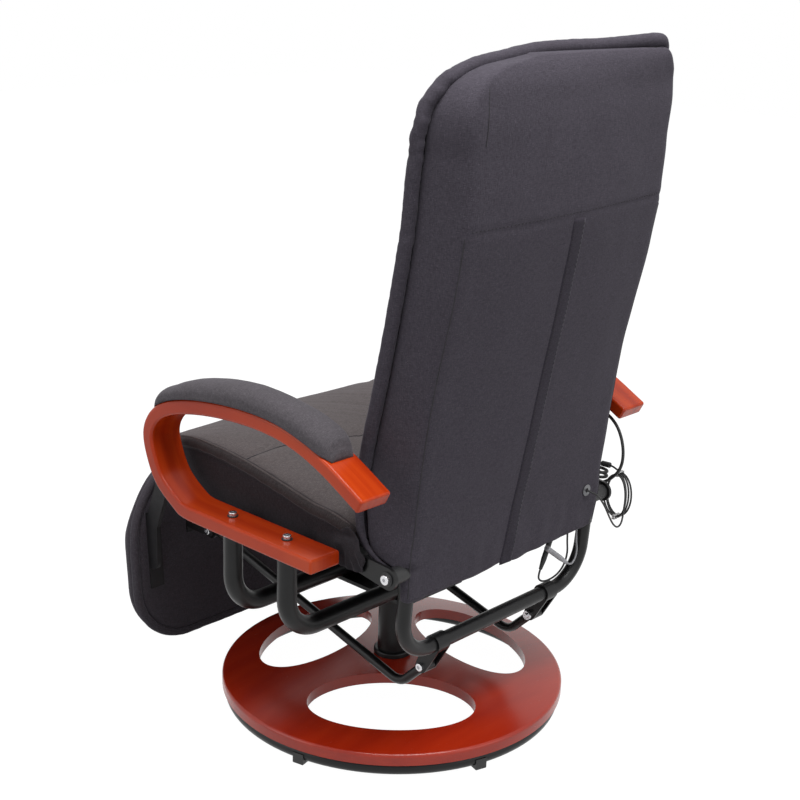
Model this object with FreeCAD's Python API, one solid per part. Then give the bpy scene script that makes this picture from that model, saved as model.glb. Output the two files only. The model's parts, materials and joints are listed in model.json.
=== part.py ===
import FreeCAD, Part
import math
import os

# A reclining swivel massage armchair with a linked leg rest, in millimetres.
# The origin is on the floor under the swivel post, +Z is up, the sitter faces -Y
# and the sitter's left hand is at +X.

V = FreeCAD.Vector
X_AXIS = V(1, 0, 0)
Y_AXIS = V(0, 1, 0)
Z_AXIS = V(0, 0, 1)

# Clearances
rest_gap = 0.3          # between pieces that lie on each other
run_fit = 0.06          # radial play of a pin that turns in its hole
bolt_play = 0.2         # radial play of a bolt in a plain hole
side_play = 0.5         # between plates that turn beside each other
tolerance = 0.01        # for picking edges by their place

# Base disc, ring and spider
disc_radius = 270.0
disc_thickness = 17.0
disc_rise = 27.0        # hub above rim
disc_edge_round = 5.0
rim_height = 25.0       # underside of the rim above the floor
cutout_count = 3
cutout_distance = 144.0
cutout_half_length = 127.0
cutout_half_width = 72.0
cutout_angle = 43.0     # degrees from +X
ring_tube_radius = 10.0
ring_inset = 14.0       # ring centre line inside the disc's edge
glide_count = 6
glide_angle = 13.0      # degrees from +X
glide_width = 18.0
glide_wall = 3.0
glide_edge_round = 2.0
spider_width = 36.0
spider_thickness = 5.0
hub_radius = 40.0
hub_thickness = 10.0
screw_radius = 2.5
screw_head_radius = 5.0
screw_head_height = 3.0
screw_bite = 12.0       # length of a screw in the wood
screw_distances = (112.0, 215.0)

# Swivel post
post_radius = 24.0
post_wall = 3.0
collar_width = 6.0
collar_height = 8.0
collar_edge_round = 2.5
spindle_radius = 15.0
spindle_bottom = 104.0
bush_length = 24.0
washer_thickness = 3.0
spindle_shoulder = 6.4
retainer_thickness = 4.0
plate_thickness = 6.0
plate_half_width = 70.0
plate_margin = 24.0     # plate beyond the centre line of each frame tube

# Bent frame tubes and the carrier bars that join their tops
frame_tube_radius = 14.0
frame_tube_wall = 2.0
frame_bend = 55.0
frame_run_height = 218.0
frame_tube_y = (-52.0, 62.0)
carrier_top = 341.5
carrier_thickness = 6.0
carrier_width = 40.0
carrier_overhang = 14.0  # bar beyond the centre line of the arm

# Arms
arm_gap = 18.5          # between the seat's side and the arm
arm_width = 55.0
arm_thickness = 21.5
arm_edge_round = 4.0
arm_rear_y = 138.0      # rear end of the lower rail
arm_line = [            # centre line of the bent wood: y, height over the carrier
    (226.0, 122.0), (160.0, 156.5), (84.0, 181.5), (3.0, 187.0), (-77.0, 180.5),
    (-150.0, 165.0), (-195.0, 141.5), (-212.0, 111.5), (-205.0, 77.0),
    (-184.0, 42.5), (-150.0, 19.5)]
arm_foot_y = -105.0     # where the bent wood runs out into the straight lower rail
arm_pad_line = [        # y, half width, top height over the carrier
    (-209.0, 18.0, 158.0), (-199.0, 25.0, 173.0), (-162.0, 29.0, 194.5),
    (-90.0, 30.0, 217.0), (0.0, 30.0, 227.5), (75.0, 30.0, 222.5),
    (125.0, 30.0, 211.5), (154.0, 27.0, 199.5), (167.0, 20.0, 188.0)]
arm_pad_depth = 46.0
arm_pad_crown = 11.0
arm_pad_draw = 3.0      # sides drawn in at top and bottom
bolt_radius = 4.0
bolt_head_radius = 6.0
bolt_head_height = 5.0
bolt_head_round = 1.0
bolt_socket_radius = 2.6
bolt_socket_depth = 3.0
bolt_washer_radius = 7.8
bolt_washer_thickness = 1.5
nut_radius = 7.0
nut_height = 7.0
bolt_tail = 3.0         # thread past the nut

# Seat frame, board and cushion
rail_inset = 2.0        # rail inside the seat's side
rail_width = 16.0
rail_height = 20.0
rail_front_y = -285.0
rail_rear_y = 150.0
cross_width = 20.0
cross_height = 12.0
cross_setback = 10.0    # rear cross bar from the end of a rail
board_thickness = 8.0
motor_radius = 24.0
motor_length = 26.0
motor_flange = 4.0
motor_edge_round = 3.0
seat_half_width = 240.0
seat_draw = 4.0
seat_line = [           # y, half width less the full one, welt height, crown
    (136.0, 16.0, 372.0, 8.0), (118.0, 6.0, 383.0, 14.0), (58.0, 1.0, 394.0, 16.0),
    (-4.0, 0.0, 408.0, 16.0), (-68.0, 0.0, 421.0, 14.0), (-134.0, 0.0, 429.0, 10.0),
    (-223.0, 0.0, 427.0, 7.0), (-270.0, 1.0, 414.0, 6.0), (-298.0, 5.0, 394.0, 5.0),
    (-309.0, 12.0, 377.0, 3.0)]

# Recline hinge
recline_y = 212.0
recline_z = 340.0
hinge_plate_thickness = 5.0
hinge_plate_front_y = 100.0
hinge_end_radius = 16.0
hinge_front_radius = 10.0
recline_bolt_radius = 5.0
recline_head_radius = 7.0
recline_nut_radius = 8.0
recline_washer_radius = 10.0
recline_bush_radius = 12.0

# Back frame
back_tube_radius = 11.0
back_tube_wall = 2.0
back_leg_inset = 38.0       # centre line of a leg inside the seat's side, at the bottom
back_top_inset = 58.0       # and at the top
back_rail_y = 202.0
back_rail_z = 202.0
back_knee_z = 489.0         # where the legs lean further back
back_top_y = 272.0
back_top_z = 890.0
back_bottom_bend = 60.0
back_knee_bend = 200.0
back_top_bend = 70.0
cross_bar_heights = (500.0, 760.0)
cross_bar_height = 34.0
cross_bar_thickness = 4.0
back_motor_x = 85.0

# Back cushion and cover at heights z: inset of the welt from the seat's side and its y,
# crown of the front pad, inset and y of the rear edge, crown of the rear panel
hem_height = 297.0
back_line = [
    (hem_height, 22.0, 192.0, 2.0, 27.0, 221.0, 2.0),
    (333.0, 18.0, 184.0, 5.0, 25.0, 225.0, 3.0),
    (372.0, 10.0, 162.0, 8.0, 24.0, 228.0, 4.0),
    (420.0, 5.0, 151.0, 18.0, 24.0, 232.0, 7.0),
    (489.0, 5.0, 150.0, 34.0, 26.0, 239.0, 10.0),
    (600.0, 4.0, 172.0, 40.0, 29.0, 255.0, 13.0),
    (720.0, 4.0, 196.0, 36.0, 31.0, 281.0, 11.0),
    (816.0, 4.0, 212.0, 34.0, 33.0, 296.0, 12.0),
    (900.0, 4.0, 221.0, 36.0, 33.0, 300.0, 10.0),
    (960.0, 12.0, 230.0, 34.0, 35.0, 300.0, 7.0),
    (1000.0, 33.0, 243.0, 26.0, 46.0, 297.0, 5.0),
    (1022.0, 63.0, 253.0, 16.0, 69.0, 290.0, 4.0),
    (1034.0, 103.0, 261.0, 8.0, 108.0, 281.0, 3.0)]
pad_edge = 12.0             # front pad at its welt
pad_edge_draw = 14.0
pad_bottom = 370.0          # the front pad has the rows of back_line above this height
cover_wall = 6.0
hinge_notch_radius = 26.0   # cover cut away round the hinge
hinge_notch_depth = 28.0    # inwards from the centre line of a leg
strip_width = 23.0
strip_thickness = 1.2
strip_x = -3.0
strip_top = 815.0
eyelet_inset = 66.0         # from the seat's side
eyelet_rise = 66.0          # above the hem
eyelet_radius = 9.0
eyelet_bore = 3.5
eyelet_lip = 1.5

# Push links and their clevises
link_inset = 116.0          # centre line of a link inside the seat's side
link_rear_y = 182.0
link_rear_z = 160.0
link_bend_y = 133.0
link_bend_z = 111.0
link_front_y = -290.3
link_front_z = 225.0
link_tube_radius = 7.0
link_bend = 30.0
link_barrel_radius = 10.0
link_barrel_length = 16.0
link_eye_radius = 14.0
link_eye_bore = 8.0         # wide bore of the opened pivot
clevis_gap = 18.0
clevis_wall = 3.0
clevis_sleeve = 3.0
clevis_end_radius = 10.0

# Leg rest, built upright and then tipped
leg_pivot_y = -300.0
leg_pivot_z = 338.0
leg_rear_y = -350.0
leg_mid_z = 230.0
leg_tip = 4.0               # degrees, lower edge towards the base
leg_board_thickness = 10.0
leg_board_margin = 16.0
leg_overhang = 5.0          # wider than the seat on each side
leg_bottom = 20.0
leg_top = 348.0
leg_top_round = 145.0
leg_bottom_round = 112.0
leg_pad_rows = [            # depth in front of the board, margin of the outline
    (0.0, 4.0), (8.0, 0.0), (18.0, 6.0), (30.0, 22.0), (39.0, 46.0), (44.0, 76.0)]
leg_arm_thickness = 7.5
leg_arm_radius = 14.0
leg_foot_drop = 130.0       # foot of a leg arm down the board
leg_foot_width = 26.0
leg_foot_thickness = 4.0
ear_thickness = 5.5
ear_rear_y = -279.0

# Handset, its pocket and keys
handset_y = 4.0
handset_width = 48.0
handset_length = 133.0
handset_thickness = 12.0
handset_bottom = 356.0
handset_round = 4.0
pocket_wall = 1.3
pocket_play = 0.6
pocket_side_play = 4.0
pocket_height = 76.0
key_width = 13.0
key_heights = (100.0, 119.0)   # centres over the handset's bottom
key_thickness = 3.2
key_rise = 1.4
key_travel = 0.8
key_play = 0.25
key_edge_round = 0.8
relief_length = 16.0
relief_base_radius = 5.0
relief_wall = 0.6
relief_cord_run = 15.0         # straight run of the cord out of the relief

# Cords
handset_cord_diameter = 5.0
lead_diameter = 3.0
handset_cord_points = [        # outwards from the seat's right side, y, z
    (8.7, 20.0, 534.0), (9.0, 50.0, 529.0), (12.0, 80.0, 506.0), (22.0, 112.0, 483.0),
    (30.0, 148.0, 467.0), (28.0, 186.0, 459.0), (22.0, 214.0, 447.0), (18.0, 230.0, 426.0),
    (17.0, 236.0, 400.0), (18.5, 231.0, 375.0), (20.0, 214.0, 355.0)]
thick_loop_centre = (36.0, 168.5, 343.0)
thick_loop_half_x = 16.0
thick_loop_half_y = 24.5
thick_loop_rise = 7.6          # per turn
thick_loop_turns = 2.5
cord_lead_in = 20.0            # straight run of the handset cord before its loops
joint_length = 15.0
joint_radius = 4.5
lead_lead_in = 8.0             # straight runs of the thin lead beside the joint and its hank
lead_hank_centre = (45.0, 216.5, 324.0)
lead_hank_half_y = 21.0
lead_hank_half_z = 36.0
lead_hank_turns = 3.25
lead_hank_step = 4.0           # between turns at the ties
lead_hank_fan = 1.6            # further step half way between the ties
lead_tail_drop = 14.0          # straight run of the thin lead out of its hank
lead_tail_points = [           # outwards from the seat's right side, y, z
    (19.0, 241.0, 290.0), (4.0, 244.0, 286.0), (-11.0, 245.0, 296.0), (-25.0, 246.0, 314.0),
    (-38.0, 246.0, 334.0), (-52.0, 245.0, 351.0), (-62.5, 244.0, 360.5)]
tie_wall = 1.2
tie_width = 5.0
black_lead_points = [          # inwards from the back's right leg, y, z
    (30.0, 201.0, hem_height), (30.0, 201.0, 274.0), (26.0, 201.0, 252.0), (32.0, 201.0, 234.0),
    (46.0, 201.0, 222.5), (64.0, 201.0, 218.5), (81.0, 201.0, 219.0), (94.0, 201.0, 224.5)]
black_plug = [(93.7, 201.0, 243.0), (72.5, 201.0, 287.5)]
grey_lead_points = [
    (22.0, 212.0, hem_height), (22.0, 212.0, 276.0), (17.5, 212.0, 260.0), (18.5, 212.0, 248.0),
    (24.0, 212.0, 239.0)]
grey_plug = [(42.0, 212.0, 242.0), (96.0, 212.0, 282.5)]
plug_lead_in = 11.0            # straight run of a lead before its connector
plug_radius = 4.2
plug_tail_radius = 2.6

# Sizes that follow from those above
ring_radius = disc_radius - ring_inset
ring_height = rim_height - ring_tube_radius - rest_gap
hub_top = rim_height + disc_rise + disc_thickness
arm_inner_x = seat_half_width + arm_gap
arm_centre_x = arm_inner_x + arm_width / 2
rail_outer_x = seat_half_width - rail_inset
rail_inner_x = rail_outer_x - rail_width
rail_top = carrier_top + rail_height
board_top = rail_top + rest_gap
cross_top = board_top - board_thickness - rest_gap
seat_bottom = board_top + rest_gap
hinge_plate_x = rail_outer_x + rest_gap
frame_bottom = frame_run_height - frame_tube_radius
plate_top = frame_bottom - rest_gap
plate_bottom = plate_top - plate_thickness
post_top = plate_bottom - spindle_shoulder - rest_gap - washer_thickness
back_half_width = seat_half_width - back_leg_inset
back_top_half_width = seat_half_width - back_top_inset
hinge_notch_x = back_half_width - hinge_notch_depth
eyelet_x = eyelet_inset - seat_half_width
eyelet_z = hem_height + eyelet_rise
link_x = seat_half_width - link_inset
leg_half_width = seat_half_width + leg_overhang
ear_x = rail_inner_x - rest_gap - ear_thickness
leg_arm_x = ear_x - side_play - leg_arm_thickness
back_lean = (recline_y - back_rail_y) / (recline_z - back_rail_z)
handset_x = -(seat_half_width + rest_gap + pocket_wall + pocket_play + handset_thickness)


# General helpers

def box(x0, x1, y0, y1, z0, z1):
    return Part.makeBox(x1 - x0, y1 - y0, z1 - z0, V(x0, y0, z0))


def rod(start, end, radius):
    start = V(*start)
    run = V(*end) - start
    return Part.makeCylinder(radius, run.Length, start, run)


def mirrored(shape):
    return shape.mirror(V(0, 0, 0), X_AXIS)


def pair(shape):
    return Part.makeCompound([shape, mirrored(shape)])


def save(name, shape):
    shape.exportStep("parts/" + name + ".step")


def wire_face(edges):
    return Part.Face(Part.Wire(Part.__sortEdges__(edges)))


def arc(a, b, c):
    return Part.Arc(V(*a), V(*b), V(*c)).toShape()


def line(a, b):
    return Part.makeLine(V(*a), V(*b))


def ring(radius, bore, bottom, top):
    return Part.makeCylinder(radius, top - bottom, V(0, 0, bottom)).cut(
        Part.makeCylinder(bore, top - bottom, V(0, 0, bottom)))


def plate_yz(a, radius_a, b, radius_b, x0, x1):
    """A flat bar across X whose rounded ends lie at a and b in the YZ plane."""
    run = V(0, b[0] - a[0], b[1] - a[1])
    along = run * (1 / run.Length)
    slope = math.acos((radius_a - radius_b) / run.Length)
    side = X_AXIS.cross(along)
    sides = []
    for sign in (1, -1):
        normal = along * math.cos(slope) + side * (sign * math.sin(slope))
        sides.append((V(x0, *a) + normal * radius_a, V(x0, *b) + normal * radius_b))
    tail = V(x0, *a) - along * radius_a
    nose = V(x0, *b) + along * radius_b
    edges = [
        line(sides[0][0], sides[0][1]), arc(sides[0][1], nose, sides[1][1]),
        line(sides[1][1], sides[1][0]), arc(sides[1][0], tail, sides[0][0])]
    return wire_face(edges).extrude(V(x1 - x0, 0, 0))


def rounded_path(points, bend=None):
    """Straight runs joined by tangent arcs, as large as the runs allow if no bend is given."""
    corners = [V(*p) for p in points]
    edges = []
    radii = []
    start = corners[0]
    for before, corner, after in zip(corners, corners[1:], corners[2:]):
        run_in = corner - before
        run_out = after - corner
        half_turn = run_in.getAngle(run_out) / 2
        shorter = min(run_in.Length, run_out.Length)
        radius = bend[len(radii)] if bend else 0.45 * shorter / math.tan(half_turn)
        reach = radius * math.tan(half_turn)
        into = run_in.normalize()
        out = run_out.normalize()
        arc_start = corner - into * reach
        arc_end = corner + out * reach
        towards = (out - into).normalize()
        middle = corner + towards * (radius / math.cos(half_turn) - radius)
        edges.append(line(start, arc_start))
        edges.append(Part.Arc(arc_start, middle, arc_end).toShape())
        radii.append(radius)
        start = arc_end
    edges.append(line(start, corners[-1]))
    return Part.Wire(edges), radii


def swept(path, radius):
    first = path.Edges[0]
    at = first.valueAt(first.FirstParameter)
    along = first.tangentAt(first.FirstParameter)
    circle = Part.Wire(Part.makeCircle(radius, at, along))
    return path.makePipeShell([circle], True, False)


def bent_tube(points, bends, radius, wall):
    path, _ = rounded_path(points, bends)
    return swept(path, radius).cut(swept(path, radius - wall))


def cord(name, points, diameter):
    path, radii = rounded_path(points)
    solid = swept(path, diameter / 2)
    share = solid.Volume / (math.pi * diameter ** 2 / 4 * path.Length)
    print(name, "length", round(path.Length), "volume share", round(share, 4),
          "radii", [round(r, 1) for r in radii])
    save(name, solid)


def biarc(p0, t0, p1, t1):
    """Two arcs that leave p0 along t0 and reach p1 along t1, smooth where they meet."""
    gap = p1 - p0
    both = t0 + t1
    a = 2 * (1 - t0.dot(t1))
    b = 2 * gap.dot(both)
    c = -gap.dot(gap)
    reach = -c / b if a < 1e-9 else (-b + math.sqrt(b * b - 4 * a * c)) / (2 * a)
    q0 = p0 + t0 * reach
    q1 = p1 - t1 * reach
    joint = (q0 + q1) * 0.5
    edges = []
    for start, corner, end in ((p0, q0, joint), (joint, q1, p1)):
        chord = (start + end) * 0.5
        half = (end - start).Length / 2
        height = (corner - chord).Length
        leg = math.hypot(half, height)
        sagitta = half * (leg - half) / height
        top = chord + (corner - chord).normalize() * sagitta
        edges.append(Part.Arc(start, top, end).toShape())
    return edges


def heading(point_at, t):
    step = 0.001
    return (point_at(t + step) - point_at(t - step)).normalize()


def wound(name, point_at, turns, diameter):
    """One unbroken tube along point_at(t) for t in turns, straight for a diameter at its ends."""
    spans = round(turns * 4)
    places = [turns * i / spans for i in range(spans + 1)]
    first = point_at(0)
    last = point_at(turns)
    start = first - heading(point_at, 0) * diameter
    end = last + heading(point_at, turns) * diameter
    edges = [line(start, first)]
    for t0, t1 in zip(places, places[1:]):
        edges += biarc(point_at(t0), heading(point_at, t0), point_at(t1), heading(point_at, t1))
    edges.append(line(last, end))
    path = Part.Wire(edges)
    solid = swept(path, diameter / 2)
    samples = path.discretize(Number=int(turns * 60))
    spacing = path.Length / len(samples)
    apart = int(4 * diameter / spacing)
    least = min((p - q).Length for i, p in enumerate(samples) for q in samples[i + apart:])
    print(name, "length", round(path.Length), "least gap to itself", round(least - diameter, 2))
    save(name, solid)
    return start, end


def crowned_section(y, half, bottom, side, crown, draw):
    """Closed outline at y: flat bottom, sides that swell between drawn-in edges, crowned top."""
    middle = (bottom + side) / 2
    low = half - draw
    return Part.Wire([
        line((-low, y, bottom), (low, y, bottom)),
        arc((low, y, bottom), (half, y, middle), (low, y, side)),
        arc((low, y, side), (0, y, side + crown), (-low, y, side)),
        arc((-low, y, side), (-half, y, middle), (-low, y, bottom))])


def rounded_outline(y, half, bottom, top, bottom_round, top_round):
    """Closed outline in the XZ plane at y with rounded corners, symmetric about X = 0."""
    corner = math.sqrt(0.5)
    edges = []
    corners = [
        (half, bottom, bottom_round, 1, -1), (half, top, top_round, 1, 1),
        (-half, top, top_round, -1, 1), (-half, bottom, bottom_round, -1, -1)]
    previous = None
    ends = []
    for x, z, radius, sx, sz in corners:
        cx = x - sx * radius
        cz = z - sz * radius
        on_x = (x, y, cz)
        on_z = (cx, y, z)
        middle = (cx + sx * radius * corner, y, cz + sz * radius * corner)
        order = (on_z, middle, on_x) if sx * sz < 0 else (on_x, middle, on_z)
        ends.append(order)
        if previous:
            edges.append(line(previous, order[0]))
        edges.append(arc(*order))
        previous = order[2]
    edges.append(line(previous, ends[0][0]))
    return Part.Wire(edges)


def socket_bolt(length):
    """A socket-head bolt along -Z, the underside of its head at the origin."""
    head = Part.makeCylinder(bolt_head_radius, bolt_head_height)
    head = head.makeFillet(bolt_head_round, [head.Edges[0]])
    shank = Part.makeCylinder(bolt_radius, length, V(0, 0, -length))
    socket = Part.makeCylinder(
        bolt_socket_radius, bolt_socket_depth, V(0, 0, bolt_head_height - bolt_socket_depth))
    return head.fuse(shank).removeSplitter().cut(socket)


# Base

def disc_top(radius):
    return rim_height + disc_thickness + disc_rise * (1 - (radius / disc_radius) ** 2)


def dished(inner, outer, lift_top, lift_bottom):
    """A dished ring between two radii; the lifts are measured from the disc's top."""
    middle = (inner + outer) / 2
    corners = []
    for radius in (inner, middle, outer):
        corners.append((radius, disc_top(radius)))
    top = [(r, 0, z + lift_top) for r, z in corners]
    bottom = [(r, 0, z + lift_bottom) for r, z in corners]
    face = wire_face([
        arc(*top), line(top[2], bottom[2]), arc(*bottom), line(bottom[0], top[0])])
    return face.revolve(V(0, 0, 0), Z_AXIS, 360)


def turned(shape, angle):
    copy = shape.copy()
    copy.rotate(V(0, 0, 0), Z_AXIS, angle)
    return copy


def spoke_angles():
    half_pitch = 180.0 / cutout_count
    return [cutout_angle + half_pitch + 360.0 * i / cutout_count for i in range(cutout_count)]


def spider_underside(radius):
    return disc_top(radius) - disc_thickness - rest_gap - spider_thickness


def screw_places():
    return [(angle, distance) for angle in spoke_angles() for distance in screw_distances]


def screw_at(angle, distance, play):
    bottom = spider_underside(distance)
    shank = Part.makeCylinder(
        screw_radius + play, spider_thickness + rest_gap + screw_bite, V(distance, 0, bottom))
    return turned(shank, angle)


def build_base():
    disc = dished(post_radius + bolt_play, disc_radius, 0, -disc_thickness)
    rims = [e for e in disc.Edges if e.Closed and abs(e.BoundBox.XMax - disc_radius) < tolerance]
    disc = disc.makeFillet(disc_edge_round, [max(rims, key=lambda e: e.BoundBox.ZMax)])
    for i in range(cutout_count):
        ellipse = Part.Ellipse(V(0, 0, 0), cutout_half_length, cutout_half_width).toShape()
        hole = Part.Face(Part.Wire(ellipse)).extrude(V(0, 0, hub_top + disc_thickness))
        hole.rotate(V(0, 0, 0), Z_AXIS, 90)
        hole.translate(V(cutout_distance, 0, 0))
        disc = disc.cut(turned(hole, cutout_angle + 360.0 * i / cutout_count))
    ring_solid = Part.makeTorus(ring_radius, ring_tube_radius, V(0, 0, ring_height))
    ring_seat = Part.makeTorus(ring_radius, ring_tube_radius + rest_gap, V(0, 0, ring_height))
    under = -disc_thickness - rest_gap
    sheet = dished(post_radius / 2, ring_radius, under, under - spider_thickness)
    hub_face = disc_top(hub_radius) - disc_thickness - rest_gap
    spider = Part.makeCylinder(hub_radius, hub_thickness, V(0, 0, hub_face - hub_thickness))
    for angle in spoke_angles():
        strip = box(0, ring_radius, -spider_width / 2, spider_width / 2, 0, hub_top)
        spider = spider.fuse(sheet.common(turned(strip, angle)))
    spider = spider.removeSplitter().cut(ring_seat)
    spider = spider.cut(Part.makeCylinder(post_radius - post_wall, hub_top))
    post_bottom = hub_face
    spider = spider.cut(Part.makeCylinder(post_radius, hub_top, V(0, 0, post_bottom)))
    screws = []
    for angle, distance in screw_places():
        hole = screw_at(angle, distance, bolt_play)
        disc = disc.cut(hole)
        spider = spider.cut(hole)
        head = Part.makeCylinder(
            screw_head_radius, screw_head_height,
            V(distance, 0, spider_underside(distance) - screw_head_height))
        screws.append(screw_at(angle, distance, 0).fuse(turned(head, angle)).cut(spider))
    glides = []
    for i in range(glide_count):
        inner = ring_radius - ring_tube_radius - glide_wall
        outer = ring_radius + ring_tube_radius + glide_wall / 2
        block = box(inner, outer, -glide_width / 2, glide_width / 2, 0, ring_height + glide_wall)
        block = block.makeFillet(glide_edge_round, [e for e in block.Edges if e.BoundBox.ZMax < tolerance])
        glides.append(turned(block, glide_angle + 360.0 * i / glide_count).cut(ring_seat))
    post = ring(post_radius, post_radius - post_wall, post_bottom, post_top)
    collar = ring(post_radius + collar_width, post_radius + bolt_play,
                  hub_top + rest_gap, hub_top + rest_gap + collar_height)
    rims = [e for e in collar.Edges if e.BoundBox.ZMin > hub_top + rest_gap + tolerance]
    collar = collar.makeFillet(collar_edge_round, [max(rims, key=lambda e: e.Length)])
    save("base_disc", disc)
    save("base_ring", ring_solid)
    save("base_spider", spider)
    save("base_screws", Part.makeCompound(screws))
    save("base_glides", Part.makeCompound(glides))
    save("base_post", post)
    save("post_collar", collar)


def build_swivel():
    inside = post_radius - post_wall
    bore = spindle_radius + run_fit
    upper = ring(inside, bore, post_top - bush_length, post_top)
    low = spindle_bottom + retainer_thickness + side_play
    lower = ring(inside, bore, low, low + bush_length)
    washer = ring(post_radius, bore, post_top, post_top + washer_thickness)
    save("swivel_bushes", Part.makeCompound([upper, lower, washer]))
    shoulder = post_top + washer_thickness + rest_gap
    spindle = Part.makeCylinder(
        spindle_radius, plate_bottom - spindle_bottom - retainer_thickness,
        V(0, 0, spindle_bottom + retainer_thickness))
    spindle = spindle.fuse(
        Part.makeCylinder(post_radius, plate_bottom - shoulder, V(0, 0, shoulder)))
    retainer = Part.makeCylinder(
        inside - side_play, retainer_thickness, V(0, 0, spindle_bottom))
    save("swivel_spindle", Part.makeCompound([spindle.removeSplitter(), retainer]))
    front = min(frame_tube_y) - plate_margin
    rear = max(frame_tube_y) + plate_margin
    plate = box(-plate_half_width, plate_half_width, front, rear, plate_bottom, plate_top)
    upright = [e for e in plate.Edges if abs(e.tangentAt(e.FirstParameter).z) > 0.9]
    save("swivel_plate", plate.makeFillet(plate_margin / 2, upright))


# Bent frame tubes, carrier bars and arms

def arm_bolt_places():
    return [(side * arm_centre_x, y) for side in (1, -1) for y in frame_tube_y]


def build_frame():
    tube_top = carrier_top - carrier_thickness
    x = arm_centre_x
    for name, y in zip(("frame_tube_front", "frame_tube_rear"), frame_tube_y):
        points = [(x, y, tube_top), (x, y, frame_run_height),
                  (-x, y, frame_run_height), (-x, y, tube_top)]
        save(name, bent_tube(points, [frame_bend] * 2, frame_tube_radius, frame_tube_wall))
    bars = []
    for y in frame_tube_y:
        reach = arm_centre_x + carrier_overhang
        bar = box(-reach, reach, y - carrier_width / 2, y + carrier_width / 2, tube_top, carrier_top)
        for bolt_x, bolt_y in arm_bolt_places():
            if bolt_y == y:
                bar = bar.cut(rod((bolt_x, y, tube_top), (bolt_x, y, carrier_top), bolt_radius + bolt_play))
        bars.append(bar)
    save("carrier_bars", Part.makeCompound(bars))


def arm_outline(offset):
    """The arm's centre line moved sideways, outwards if positive, as a curve and its end points."""
    rail = arm_thickness / 2
    places = [V(0, y, carrier_top + h) for y, h in arm_line]
    places.append(V(0, arm_foot_y, carrier_top + rail))
    moved = []
    for i, here in enumerate(places):
        before = places[max(i - 1, 0)]
        after = places[min(i + 1, len(places) - 1)]
        along = (after - before).normalize()
        if i == len(places) - 1:
            along = V(0, 1, 0)
        moved.append(here + along.cross(X_AXIS) * offset)
    curve = Part.BSplineCurve()
    first = (moved[1] - moved[0]).normalize()
    curve.interpolate(Points=moved, InitialTangent=first, FinalTangent=V(0, 1, 0))
    return curve.toShape(), moved[0], moved[-1]


def arm_section():
    outer, outer_tip, outer_foot = arm_outline(arm_thickness / 2)
    inner, inner_tip, inner_foot = arm_outline(-arm_thickness / 2)
    outer_end = V(0, arm_rear_y, outer_foot.z)
    inner_end = V(0, arm_rear_y, inner_foot.z)
    return wire_face([
        outer, line(outer_foot, outer_end), line(outer_end, inner_end),
        line(inner_end, inner_foot), inner, line(inner_tip, outer_tip)])


def arm_bed():
    """The space under the arm's top, which the pad is cut to sit on."""
    outer, tip, foot = arm_outline(arm_thickness / 2 + rest_gap)
    bed = wire_face([outer, line(foot, V(0, arm_rear_y, foot.z)), line(V(0, arm_rear_y, foot.z), tip)])
    reach = 2 * arm_width
    bed.translate(V(arm_centre_x - reach / 2, 0, 0))
    return bed.extrude(V(reach, 0, 0))


def build_arms():
    section = arm_section()
    section.translate(V(arm_inner_x, 0, 0))
    arm = section.extrude(V(arm_width, 0, 0))
    sides = (arm_inner_x, arm_inner_x + arm_width)
    rims = [e for e in arm.Edges if e.BoundBox.XLength < tolerance
            and min(abs(e.BoundBox.XMin - x) for x in sides) < tolerance]
    ends = [e for e in arm.Edges
            if e.BoundBox.XLength > tolerance and e.BoundBox.YMin > arm_rear_y - tolerance]
    arm = arm.makeFillet(arm_edge_round, rims + ends)
    rail_face = carrier_top + arm_thickness
    bolts = []
    washers = []
    for x, y in arm_bolt_places():
        if x > 0:
            arm = arm.cut(rod((x, y, carrier_top), (x, y, rail_face), bolt_radius + bolt_play))
        washer = ring(bolt_washer_radius, bolt_radius + bolt_play, 0, bolt_washer_thickness)
        washer.translate(V(x, y, rail_face))
        washers.append(washer)
        under = carrier_top - carrier_thickness
        head = rail_face + bolt_washer_thickness
        bolt = socket_bolt(head - under + nut_height + bolt_tail)
        bolt.translate(V(x, y, head))
        nut = ring(nut_radius, bolt_radius + bolt_play, under - nut_height, under)
        nut.translate(V(x, y, 0))
        bolts += [bolt, nut]
    sections = [
        crowned_section(y, half, carrier_top + top - arm_pad_depth,
                        carrier_top + top - arm_pad_crown, arm_pad_crown, arm_pad_draw)
        for y, half, top in arm_pad_line]
    pad = Part.makeLoft(sections, True, False)
    pad.translate(V(arm_centre_x, 0, 0))
    pad = pad.cut(arm_bed())
    for side, shape in (("left", arm), ("right", mirrored(arm))):
        save("arm_" + side, shape)
    for side, shape in (("left", pad), ("right", mirrored(pad))):
        save("arm_pad_" + side, shape)
    save("arm_bolts", Part.makeCompound(bolts))
    return washers


# Seat

def motor():
    """A vibration motor that hangs from its flange at the origin, along -Z."""
    can = Part.makeCylinder(motor_radius, motor_length, V(0, 0, -motor_length))
    can = can.makeFillet(motor_edge_round, [min(can.Edges, key=lambda e: e.BoundBox.ZMax)])
    half = motor_radius + motor_flange
    flange = box(-half, half, -half, half, -motor_flange, 0)
    return can.fuse(flange).removeSplitter()


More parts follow.
